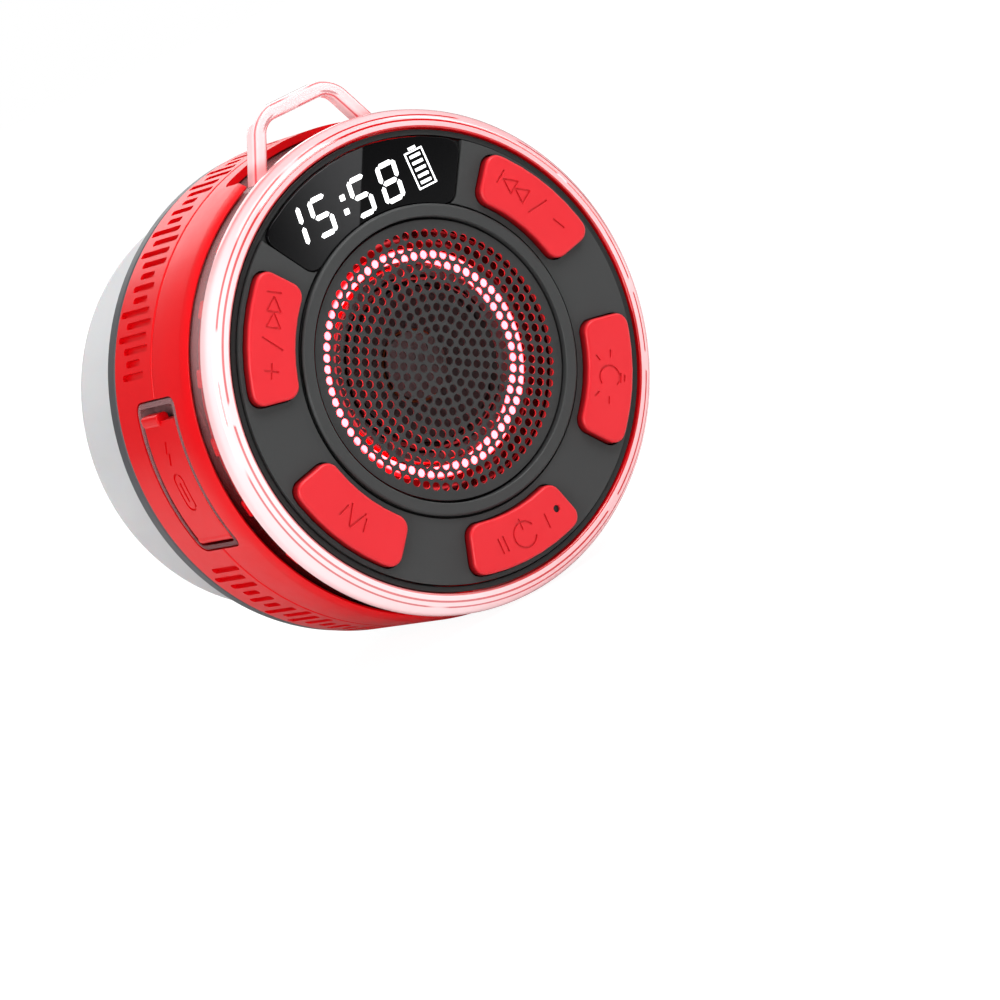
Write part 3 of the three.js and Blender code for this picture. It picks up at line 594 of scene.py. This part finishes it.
# ---- Loudspeaker driver: pressed frame, magnet and yoke, with a paper cone and dust cap on a
# rubber surround. The cone, cap and coil move together.
driver_steel = metal("driver_steel", tone(92, 93, 96), 0.42)
cone_paper = moulded("cone_paper", tone(48, 42, 43), 0.85, grain=1300.0, depth=0.05)
black_rubber = moulded("black_rubber", tone(13, 13, 13), 0.42, grain=2600.0, depth=0.008)
for name in ("driver_frame", "driver_top_plate", "driver_yoke"):
    dress(name, driver_steel)
dress("driver_magnet", moulded("ferrite", tone(40, 41, 44), 0.7, grain=1500.0, depth=0.03))
dress("driver_spider", moulded("spider_cloth", tone(150, 116, 66), 0.8, grain=1000.0, depth=0.08))
dress("driver_surround", black_rubber)
dress("driver_cone", cone_paper)
dress("dust_cap", moulded("cap_paper", tone(86, 77, 78), 0.8, grain=1500.0, depth=0.04))
dress("voice_coil", metal("copper_winding", tone(120, 66, 40), 0.4))

# ---- Light ring and its reflector: a milky ring over red lights on the board, and a glossy red
# dish that spreads the light out under the edge of the grille.
LIGHTS_RADIUS = 19.1


def axis_distance(across, up):
    """Shader distance from the speaker's axis, in metres."""
    return (across * across + up * up) ** 0.5


finish = Finish(bpy.data.materials.new("light_diffuser"))
across, _, up = finish.axes()
away = abs(axis_distance(across, up) - LIGHTS_RADIUS * MM)
hot = 1.0 - finish.step(away, 0.9 * MM, 1.3 * MM)
flicker = finish.noise(160.0, 2.0)
hot_glow = finish.blend(flicker, (1.0, 0.045, 0.056, 1.0), (1.0, 0.07, 0.085, 1.0))
ring_glow = finish.blend(hot, (0.15, 0.0006, 0.0012, 1.0), hot_glow)
light_diffuser = finish.principled(Base_Color=tone(255, 120, 130), Roughness=0.35,
                                   Emission_Color=ring_glow, Emission_Strength=14.0)
light_ring = turned([(18.35, 6.6), (18.6, 6.2), (19.95, 5.5), (20.45, 6.0), (20.45, 7.9),
                     (18.35, 7.9)])
eased(light_ring, 0.1)
piece("light_ring_diffuser", light_ring, light_diffuser, "housing", "light_diffuser", "light_ring")
reflector = turned([(23.2, 2.6), (24.6, 2.6), (24.6, 4.0), (21.45, 7.9), (20.75, 7.9),
                    (20.75, 6.8), (23.2, 3.6)])
eased(reflector, 0.15)
red_gloss = moulded("red_gloss", tone(38, 1, 3), 0.14, grain=700.0, depth=0.03, mottle=0.2,
                    IOR_Level=0.25)
piece("reflector_dish", reflector, red_gloss, "housing", "red_gloss", "ring_reflector")

# ---- Chassis with six screw posts, in red plastic, and the screws in them.
# It carries the driver, and the board and panel are screwed down on its posts. The ribs that
# brace it round the outside show through the clear wall.
dress("chassis", red_case)
for number in range(1, 7):
    dress(f"chassis_screw_{number}", bright_steel)
RIBS = 22
rib_blade = block((-42.8, 5.5, -0.9), (-40.2, 8.6, 0.9), 0.35, 1)
rib_foot = block((-42.75, 8.5, -1.7), (-40.25, 9.8, 1.7), 0.5, 1)
rib = carved(rib_blade, rib_foot, "UNION")
ribs = joined(*[swung(rib.copy(), 360 * (number + 0.3) / RIBS) for number in range(RIBS)])
rib.free()
# The ribs' faint red emission is a painted glow, standing in for the light ring's light inside the
# case.
rib_red_painted_glow = moulded("rib_red_painted_glow", tone(226, 8, 18), 0.2, grain=1500.0, depth=0.01, Coat_Weight=0.5,
                  Coat_Roughness=0.08, Emission_Color=(1.0, 0.01, 0.02, 1.0),
                  Emission_Strength=0.16)
piece("chassis_ribs", ribs, rib_red_painted_glow, "housing", "red_plastic")

# ---- Clear front shell: a milky clear rim with a thin wall behind it that slides into the red
# band, and a hanging loop moulded on top. The red case seen through the clear plastic is painted
# into its colour as thin red lines round the rim, with painted highlights, shade and a faint
# painted glow.
finish = Finish(bpy.data.materials.new("clear_plastic"))
across, along, up = finish.axes()
radius = axis_distance(across, up)
drift = finish.noise(38.0, 1.0)
dashes = finish.noise(95.0, 1.0)


def arc_line(ring_radius, half_width, mask=1.0):
    """Thin line that runs round the rim, faded by a mask."""
    away = abs(radius - ring_radius * MM)
    return (1.0 - finish.step(away, half_width * 0.8 * MM, half_width * MM)) * mask


# Painted light: the side towards the left lamp is painted paler, with fainter lines, as a painted
# highlight. The back of the rim is painted darker red, least on that side, as painted shade. The
# red lines paint in the red case seen through the rim, and the faint emission is a painted glow.
rim_painted_lit_side = finish.step(across * -1.0 - up * 0.3, 0.004, 0.030)
rim_painted_case_lines = (arc_line(41.1, 0.32) + arc_line(42.4, 0.20, finish.step(dashes, 0.40, 0.42))
         + arc_line(43.35, 0.15, finish.step(drift, 0.40, 0.43)))
rim_painted_case_lines = rim_painted_case_lines * (1.0 - finish.step(along, at(2.3), at(2.6))) * (1.0 - rim_painted_lit_side * 0.25)
side = finish.step(along, at(2.0), at(3.0)) * (1.0 - rim_painted_lit_side * 0.8) * 0.8
pink = finish.blend(drift, tone(244, 168, 171), tone(252, 208, 211))
pale = finish.blend(rim_painted_lit_side, pink, tone(252, 222, 224))
rim_colour = finish.blend(rim_painted_case_lines, finish.blend(side, pale, tone(214, 50, 56)), tone(198, 8, 18))
haze = finish.noise(700.0, 4.0, 0.6)
clear_plastic = finish.principled(
    Base_Color=rim_colour, Roughness=haze * 0.06 + 0.05, IOR=1.49, Transmission_Weight=0.12,
    Coat_Weight=0.6, Coat_Roughness=0.04, Normal=finish.bump(haze, 0.002),
    Emission_Color=rim_colour, Emission_Strength=0.12)
rim = turned([(41.0, 0.15), (41.35, 0.0), (42.1, 0.1), (42.9, 0.45), (43.6, 1.05), (44.2, 1.8),
              (44.58, 2.6), (44.7, 3.4), (44.7, 4.4), (44.3, 4.75), (43.4, 4.9), (42.0, 5.3),
              (41.0, 5.0)], SMOOTH)
eased(rim, 0.2, least=40)
piece("clear_rim", rim, clear_plastic, "housing", "clear_plastic", "clear_shell")
WALL_INSIDE = 42.86
WALL_OUTSIDE = 43.4
WALL_BACK = 20.5
wall = turned([(WALL_INSIDE, 5.12), (WALL_OUTSIDE, 4.95), (WALL_OUTSIDE, WALL_BACK),
               (WALL_INSIDE, WALL_BACK)], SMOOTH)
wall = carved(wall, port_block(PORT_HALF_LENGTH + 0.3, PORT_HALF_WIDTH + 0.3, PORT_CORNER))
finish = Finish(bpy.data.materials.new("clear_wall_plastic"))
_, _, up = finish.axes()
haze = finish.noise(300.0, 4.0, 0.6)
# Painted light: the wall is painted pale pink and made less clear towards the top as a painted
# reflection of the bright surroundings, and dark red towards the bottom as painted shade.
wall_painted_light_share = finish.step(up, -0.012, 0.026)
wall_colour = finish.blend(wall_painted_light_share, tone(176, 22, 30), tone(236, 178, 180))
clear_wall = finish.principled(
    Base_Color=wall_colour, Roughness=haze * 0.04 + 0.04, IOR=1.49, IOR_Level=0.2,
    Alpha=wall_painted_light_share * 0.20 + 0.07, Normal=finish.bump(haze, 0.002))
piece("clear_wall", wall, clear_wall, "housing", "clear_plastic", "clear_shell")

LOOP_FRONT = 8.8
LOOP_DEPTH = 3.5
LOOP_TOP = 52.6
LOOP_EYE = 49.8
LOOP_FOOT = 41.0
loop = bmesh.new()
outside = [(-14.33, LOOP_FOOT), (-8.6, LOOP_TOP), (8.6, LOOP_TOP), (14.33, LOOP_FOOT)]
inside = [(-11.21, LOOP_FOOT), (-6.86, LOOP_EYE), (6.86, LOOP_EYE), (11.21, LOOP_FOOT)]
corners = [[loop.verts.new((x * MM, at(LOOP_FRONT), z * MM)) for x, z in path]
           for path in (outside, inside)]
for (a, b), (c, d) in zip(zip(corners[0], corners[0][1:]), zip(corners[1], corners[1][1:])):
    loop.faces.new((a, b, d, c))


def thickened(mesh, depth):
    """Flat faces made solid, towards the wall where the depth is positive."""
    grown = bmesh.ops.extrude_face_region(mesh, geom=mesh.faces[:])
    moved = [item for item in grown["geom"] if isinstance(item, bmesh.types.BMVert)]
    bmesh.ops.translate(mesh, verts=moved, vec=(0, depth * MM, 0))
    bmesh.ops.recalc_face_normals(mesh, faces=mesh.faces)
    return mesh


def shoulder(height):
    """Picks the loop's bends at a height: the edges that run from its front to its back."""
    def picks(edge):
        """Says whether an edge is one of them."""
        a, b = (vert.co for vert in edge.verts)
        return abs(a.y - b.y) > MM and abs(a.z - height * MM) < 1e-5
    return picks


thickened(loop, LOOP_DEPTH)
eased(loop, 4.0, 8, shoulder(LOOP_TOP), 20)
eased(loop, 1.8, 6, shoulder(LOOP_EYE), 20)
eased(loop, 0.95, 4, lambda edge: abs(edge.verts[0].co.y - edge.verts[1].co.y) < 1e-6, 60, False)
finish = Finish(bpy.data.materials.new("loop_plastic"))
_, along, up = finish.axes()
haze = finish.noise(700.0, 4.0, 0.6)
streak = finish.noise(130.0, 2.0)
# Painted light: red lines near the loop's front and back faces and a red flush over its feet paint
# in the red case seen through the clear plastic, and the faint emission is a painted glow.
away = abs(along - at(LOOP_FRONT + LOOP_DEPTH / 2))
loop_painted_edge_lines = (finish.step(away, 1.25 * MM, 1.40 * MM)
             * (1.0 - finish.step(away, 1.50 * MM, 1.65 * MM)))
loop_painted_edge_lines = loop_painted_edge_lines * finish.step(streak, 0.34, 0.44)
loop_painted_foot_red = 1.0 - finish.step(up, 0.0425, 0.0450)
pale = finish.blend(streak, tone(250, 212, 214), tone(254, 234, 235))
loop_colour = finish.blend(loop_painted_edge_lines * 0.85 + loop_painted_foot_red * 0.5, pale, tone(232, 70, 78))
loop_plastic = finish.principled(
    Base_Color=loop_colour, Roughness=haze * 0.06 + 0.05, IOR=1.49, Transmission_Weight=0.2,
    Coat_Weight=0.6, Coat_Roughness=0.04, Normal=finish.bump(haze, 0.002),
    Emission_Color=loop_colour, Emission_Strength=0.14)
piece("hanging_loop", loop, loop_plastic, "housing", "clear_plastic", "clear_shell")

# ---- Face: a dark grey matt panel with windows for the keys and a pocket for the display, a
# black rubber seal round it, a trim ring with a near-black ring in the groove round it as painted
# shade, and a perforated steel grille on a soft gasket.
PANEL = 39.5
PANEL_INSIDE = 27.1
PANEL_BACK = 2.2
GROOVE_OUTSIDE = 27.95
GROOVE_DEPTH = 0.7
KEY_INNER = 29.3
KEY_OUTER = 38.5
KEY_HALF = 18.6
KEY_ANGLES = (60, 120, 180, 240, 300)
KEY_GAP = 0.25
LENS_INNER = 27.6
LENS_HALF = 34.0
LENS_STEPS = 12


def sector(inner, outer, half, middle, front, back, fillet, steps=7):
    """Part of a ring round a middle angle, with rounded corners."""
    mesh = bmesh.new()
    ends = [mesh.verts.new(polar(radius, middle - half, back)) for radius in (inner, outer)]
    edge = mesh.edges.new(ends)
    bmesh.ops.spin(mesh, geom=ends + [edge], cent=(0, 0, 0), axis=AXIS,
                   angle=math.radians(2 * half), steps=steps, use_merge=False,
                   use_duplicate=False)
    thickened(mesh, front - back)
    return eased(mesh, fillet, 6, lambda edge: abs(edge.verts[0].co.y - edge.verts[1].co.y) > 1e-5)


panel = turned([(PANEL_INSIDE, GROOVE_DEPTH), (GROOVE_OUTSIDE, GROOVE_DEPTH),
                (GROOVE_OUTSIDE, 0), (PANEL, 0), (PANEL, PANEL_BACK),
                (PANEL_INSIDE, PANEL_BACK)], SMOOTH)
for angle in KEY_ANGLES:
    panel = carved(panel, sector(KEY_INNER - KEY_GAP, KEY_OUTER + KEY_GAP, KEY_HALF + 0.5, angle,
                                 -1.0, 3.0, 2.5))
panel = carved(panel, sector(LENS_INNER - 0.2, PANEL + 2.0, LENS_HALF + 0.4, 0, -1.0, 1.3, 2.5,
                             LENS_STEPS))
panel = carved(panel, sector(LENS_INNER + 1.4, PANEL - 0.9, LENS_HALF - 5.0, 0, -1.0, 3.0, 1.5,
                             LENS_STEPS))
eased(panel, 0.16, least=60)
panel_plastic = moulded("panel_plastic", tone(54, 55, 55), 0.52, grain=5200.0, depth=0.012,
                        mottle=0.05, IOR_Level=0.35)
piece("panel_moulding", panel, panel_plastic, "housing", "panel_plastic", "front_panel")

seal = tube(39.7, 40.75, 0.45, 2.4)
eased(seal, 0.2)
piece("seal_ring", seal, black_rubber, "housing", "black_rubber", "panel_seal")

trim = turned([(25.2, -0.7), (25.4, -0.9), (27.15, -0.9), (27.5, -0.55), (27.5, -0.1),
               (26.8, -0.1), (26.8, 2.2), (23.5, 2.2), (23.5, 1.1), (25.2, 1.1)])
eased(trim, 0.12)
piece("trim_ring_moulding", trim, panel_plastic, "housing", "panel_plastic", "grille_trim_ring")
# Painted shade: a near-black, barely glossy finish for the grooves on both sides of the trim ring.
# The gasket is a real part; the ring in the outer groove is there only to paint the groove's
# shade.
groove_painted_shade_black = moulded("groove_painted_shade_black", tone(5, 5, 5), 0.7, grain=1800.0, depth=0.02, IOR_Level=0.1)
trim_groove_painted_shade_ring = tube(27.55, GROOVE_OUTSIDE - 0.05, 0.25, GROOVE_DEPTH - 0.02)
eased(trim_groove_painted_shade_ring, 0.08)
piece("trim_groove_painted_shade_ring", trim_groove_painted_shade_ring, groove_painted_shade_black, "housing", "black_rubber")
gasket = tube(24.75, 25.15, 0.7, 1.08)
eased(gasket, 0.1)
piece("gasket_ring", gasket, groove_painted_shade_black, "housing", "black_rubber", "grille_gasket")

GRILLE = 24.7
GRILLE_FLANGE = 24.3
HOLE = 0.76
HOLE_SIDES = 12
HOLE_RINGS = 12
HOLE_PITCH = 1.86
SHEET = 0.42
grille = bmesh.new()
upright = Matrix.Rotation(math.pi / 2, 4, "X")


def loop_of(radius, steps, place):
    """Adds a closed outline to the grille's sheet."""
    bmesh.ops.create_circle(grille, cap_ends=False, segments=steps, radius=radius * MM,
                            matrix=Matrix.Translation(place) @ upright)


loop_of(GRILLE, 160, polar(0, 0, SHEET))
loop_of(HOLE, HOLE_SIDES, polar(0, 0, SHEET))
for ring in range(1, HOLE_RINGS + 1):
    for hole in range(6 * ring):
        loop_of(HOLE, HOLE_SIDES, polar(HOLE_PITCH * ring, 60.0 * hole / ring, SHEET))
bmesh.ops.triangle_fill(grille, use_beauty=True, edges=grille.edges)
thickened(grille, -SHEET)
grille = joined(grille, tube(GRILLE_FLANGE, GRILLE - 0.02, SHEET - 0.02, 0.8))
finish = Finish(bpy.data.materials.new("grille_lacquer"))
speck = finish.noise(3800.0, 2.0)
patch = finish.noise(120.0, 3.0)
across, along, up = finish.axes()
radius = axis_distance(across, up)
# Painted glints: the surfaces behind the grille's front, the hole walls, are painted red away from
# the middle, standing in for the light ring's red light caught on them.
grille_painted_red_glints = finish.step(along, at(0.03), at(0.10)) * finish.step(radius, 10 * MM, 16 * MM)
front_colour = finish.blend(patch, tone(48, 48, 48), tone(62, 62, 62))
grille_colour = finish.blend(grille_painted_red_glints, front_colour, tone(150, 14, 20))
grille_lacquer = finish.principled(Base_Color=grille_colour, Metallic=0.35, IOR_Level=0.4,
                                   Roughness=speck * 0.15 + 0.42, Normal=finish.bump(speck, 0.01))
piece("grille_plate", grille, grille_lacquer, "housing", "grille_steel", "speaker_grille")

# ---- Display: a glossy black lens glued flush in the panel's pocket, and the lit clock digits
# and battery sign that show through it.
lens = sector(LENS_INNER, PANEL - 0.05, LENS_HALF, 0, 0.05, 1.1, 2.5, LENS_STEPS)
eased(lens, 0.22, 3, least=60)
finish = Finish(bpy.data.materials.new("lens_gloss"))
across, _, up = finish.axes()
smudge = finish.noise(180.0, 4.0, 0.6)
# Painted reflection: a lighter grey patch on the left of the lens, cut off by a slanted edge, is
# painted into its colour.
slant = across - (up - 0.0393) * 0.586 - 0.0034
sheen = finish.step(across, -0.023, 0.003) * (1.0 - finish.step(slant, -0.0002, 0.0002))
lens_colour = finish.blend(sheen, tone(6, 6, 7), tone(58, 58, 59))
lens_gloss = finish.principled(Base_Color=lens_colour, Roughness=smudge * 0.04 + 0.03,
                               IOR_Level=0.12, Normal=finish.bump(smudge, 0.001))
piece("lens_window", lens, lens_gloss, "housing", "lens", "display_lens")

DIGIT_MIDDLE = 31.75
DIGIT_HEIGHT = 7.7
STROKE = 0.88
LEAN = 0.12
COLON = -4.6
BATTERY = 12.3


def bar(x, z, length, width, degrees, front, back, corner, segments=1):
    """Flat bar in the face's plane, centred on (x, z)."""
    mesh = block((-length / 2, front, -width / 2), (length / 2, back, width / 2), corner, 1,
                 segments)
    turn = Matrix.Rotation(-math.radians(degrees), 4, "Y")
    mesh.transform(Matrix.Translation((x * MM, 0, z * MM)) @ turn)
    return mesh


def digit_bar(x, z, length, degrees, width=STROKE, corner=0.42):
    """Lit bar between the lens and the display module."""
    return bar(x, z, length, width, degrees, 0.0, 0.3, corner)


# The digits stand on a slant, and the battery sign beside them stands upright.
def seven(x, lit):
    """Bars of one seven-bar digit, named a to g from the top round to the middle."""
    half_width = 1.75
    upright_half = DIGIT_HEIGHT / 4
    top = DIGIT_HEIGHT / 2 - STROKE / 2
    places = {"a": (0, top, 0), "b": (half_width, upright_half, 90),
              "c": (half_width, -upright_half, 90), "d": (0, -top, 0),
              "e": (-half_width, -upright_half, 90), "f": (-half_width, upright_half, 90),
              "g": (0, 0, 0)}
    bars = []
    for name in lit:
        side, rise, degrees = places[name]
        length = 3.05 if degrees else 3.0
        bars.append(digit_bar(x + side, DIGIT_MIDDLE + rise * 0.93, length, degrees))
    return bars


parts = seven(-15.6, "bc") + seven(-9.5, "afgcd") + seven(-0.8, "afgcd") + seven(5.6, "abcdefg")
for rise in (-1.25, 1.25):
    parts.append(digit_bar(COLON, DIGIT_MIDDLE + rise, 1.05, 0, 1.05, 0.1))
digits = joined(*parts)
for vert in digits.verts:
    vert.co.x += (vert.co.z - DIGIT_MIDDLE * MM) * LEAN
frame_bars = [digit_bar(BATTERY, DIGIT_MIDDLE + rise, 3.9, 0, 0.3, 0.05)
              for rise in (-3.55, 3.05)]
frame_bars += [digit_bar(BATTERY + side, DIGIT_MIDDLE - 0.25, 6.8, 90, 0.3, 0.05)
               for side in (-1.83, 1.83)]
frame_bars.append(digit_bar(BATTERY, DIGIT_MIDDLE + 3.6, 1.6, 0, 0.5, 0.05))
frame_bars += [digit_bar(BATTERY, DIGIT_MIDDLE - 2.65 + 1.2 * number, 2.3, 0, 0.56, 0.05)
               for number in range(5)]
digits = joined(digits, *frame_bars)
finish = Finish(bpy.data.materials.new("digit_glow"))
cells = finish.noise(1500.0, 1.0)
digit_colour = finish.blend(cells, (0.9, 0.92, 0.95, 1), (1.0, 1.0, 1.0, 1))
digit_glow = finish.principled(Base_Color=tone(240, 240, 240), Emission_Color=digit_colour,
                               Emission_Strength=1.3, Roughness=0.4)
piece("clock_digits", digits, digit_glow, "housing", "display_white")

# ---- Keys: five soft-topped red caps that stand proud of the panel, each on its own switch and
# held in by a flange behind the panel. Their signs are cut a fraction of a millimetre deep, and
# the power key has the microphone's hole with gauze in it.
KEY_FRONT = -1.9
KEY_MIDDLE = 33.9
KEY_EDGE = 0.55
FLANGE_FRONT = 2.4
FLANGE_BACK = 3.3
SIGN_FRONT = KEY_FRONT - 1
SIGN_BACK = KEY_FRONT + 0.28
SIGN_WIDTH = 0.36
MICROPHONE = (8.0, 1.05)
finish = Finish(bpy.data.materials.new("key_plastic"))
_, along, _ = finish.axes()
cloudy = finish.noise(70.0, 3.0)
grainy = finish.noise(4200.0, 2.0)
handled = finish.noise(420.0, 4.0, 0.6)
top_colour = finish.blend(cloudy, tone(210, 26, 36), tone(219, 32, 42))
# Painted shade: the key's sides below its top are painted dark red.
deep = finish.step(along, at(-1.75), at(-0.7))
key_colour = finish.blend(deep, top_colour, tone(128, 2, 9))
key_plastic = finish.principled(
    Base_Color=key_colour, Roughness=handled * 0.12 + 0.36, IOR_Level=0.4,
    Normal=finish.bump(grainy * 0.7 + handled * 0.3, 0.008))


def stroke(t, s, length, degrees=0.0):
    """Cutter for one straight stroke, t along the key and s away from the axis."""
    return bar(t, s, length, SIGN_WIDTH, degrees, SIGN_FRONT, SIGN_BACK, 0.1)


def arc(s, outer_radius, start, sweep):
    """Cutter for part of a ring, centred across the key and s away from the axis."""
    mesh = bmesh.new()
    points = [mesh.verts.new(((outer_radius - inset) * MM, at(depth), 0)) for inset, depth in
              ((0, SIGN_FRONT), (SIGN_WIDTH, SIGN_FRONT), (SIGN_WIDTH, SIGN_BACK),
               (0, SIGN_BACK))]
    face = mesh.faces.new(points)
    bmesh.ops.spin(mesh, geom=[face] + face.edges[:] + points, cent=(0, 0, 0), axis=AXIS,
                   angle=math.radians(sweep), steps=32, use_merge=False, use_duplicate=False)
    bmesh.ops.remove_doubles(mesh, verts=mesh.verts, dist=1e-7)
    bmesh.ops.recalc_face_normals(mesh, faces=mesh.faces)
    mesh.transform(Matrix.Translation((0, 0, s * MM))
                   @ Matrix.Rotation(math.radians(start), 4, "Y"))
    return mesh


def arrow(t, s, size, direction):
    """Outline of a triangle that points along the key."""
    half = size / 2
    return [stroke(t - direction * half, s, size * 1.1, 90),
            stroke(t, s + half / 2, size * 1.12, -27 * direction),
            stroke(t, s - half / 2, size * 1.12, 27 * direction)]


# Each key's sign is drawn with s pointing away from the axis. The signs of the keys below the
# middle are turned round later, so that all of them stand upright.
signs = {
    "key_previous": [*arrow(-3.3, 0, 2.7, -1), *arrow(-6.1, 0, 2.7, -1), stroke(-8.1, 0, 2.9, 90),
                     stroke(0.8, 0, 4.6, 65), stroke(6.0, 0, 2.8)],
    "key_next": [*arrow(3.3, 0, 2.7, 1), *arrow(6.1, 0, 2.7, 1), stroke(8.1, 0, 2.9, 90),
                 stroke(-0.8, 0, 4.6, 65), stroke(-5.6, 0, 2.9), stroke(-5.6, 0, 2.9, 90)],
    "key_light": [arc(0.4, 2.2, -130, 260), stroke(0, -1.9, 1.9), stroke(0, -2.7, 1.3),
                  stroke(-4.2, 0.4, 1.4), stroke(4.2, 0.4, 1.4), stroke(-3.2, 2.9, 1.3, -45),
                  stroke(3.2, 2.9, 1.3, 45)],
    "key_power": [arc(-0.2, 2.5, 25, 310), stroke(0, 1.7, 2.2, 90),
                  stroke(-5.4, 0, 3.0, 90), stroke(-4.3, 0, 3.0, 90), stroke(5.2, 0, 2.8, 90),
                  bar(*MICROPHONE, 1.32, 1.32, 0, SIGN_FRONT, KEY_FRONT + 0.8, 0.63, 6)],
    "key_mode": [stroke(-2.4, 0, 2.6, 75), stroke(-0.85, 0, 4.2, -68), stroke(0.85, 0, 4.2, 68),
                 stroke(2.4, 0, 2.6, -75)],
}
key_order = ("key_previous", "key_light", "key_power", "key_mode", "key_next")
for middle, name in zip(KEY_ANGLES, key_order):
    cap = sector(KEY_INNER, KEY_OUTER, KEY_HALF, middle, KEY_FRONT, 2.5, 2.4)
    eased(cap, KEY_EDGE, 5, lambda edge: max(vert.co.y for vert in edge.verts) < at(-1), 60, False)
    flange = sector(KEY_INNER - 0.6, KEY_OUTER + 0.6, KEY_HALF + 1.0, middle, FLANGE_FRONT,
                    FLANGE_BACK, 2.5)
    cutter = joined(*signs[name])
    below_the_middle = 90 < middle < 270
    if below_the_middle:
        cutter.transform(Matrix.Rotation(math.pi, 4, "Y"))
    cutter.transform(Matrix.Translation((0, 0, KEY_MIDDLE * MM)))
    cutter.transform(Matrix.Rotation(math.radians(middle), 4, "Y"))
    cap = carved(cap, cutter, overlapping=True)
    cap = carved(cap, flange, "UNION")
    piece(name + "_cap_moulding", cap, key_plastic, name + "_cap", "red_key", name)

gauze = bar(MICROPHONE[0], MICROPHONE[1] - KEY_MIDDLE, 1.3, 1.3, 0, KEY_FRONT + 0.45,
            KEY_FRONT + 0.85, 0.62, 6)
piece("microphone_gauze", gauze, black_rubber, "key_power_cap", "black_rubber")
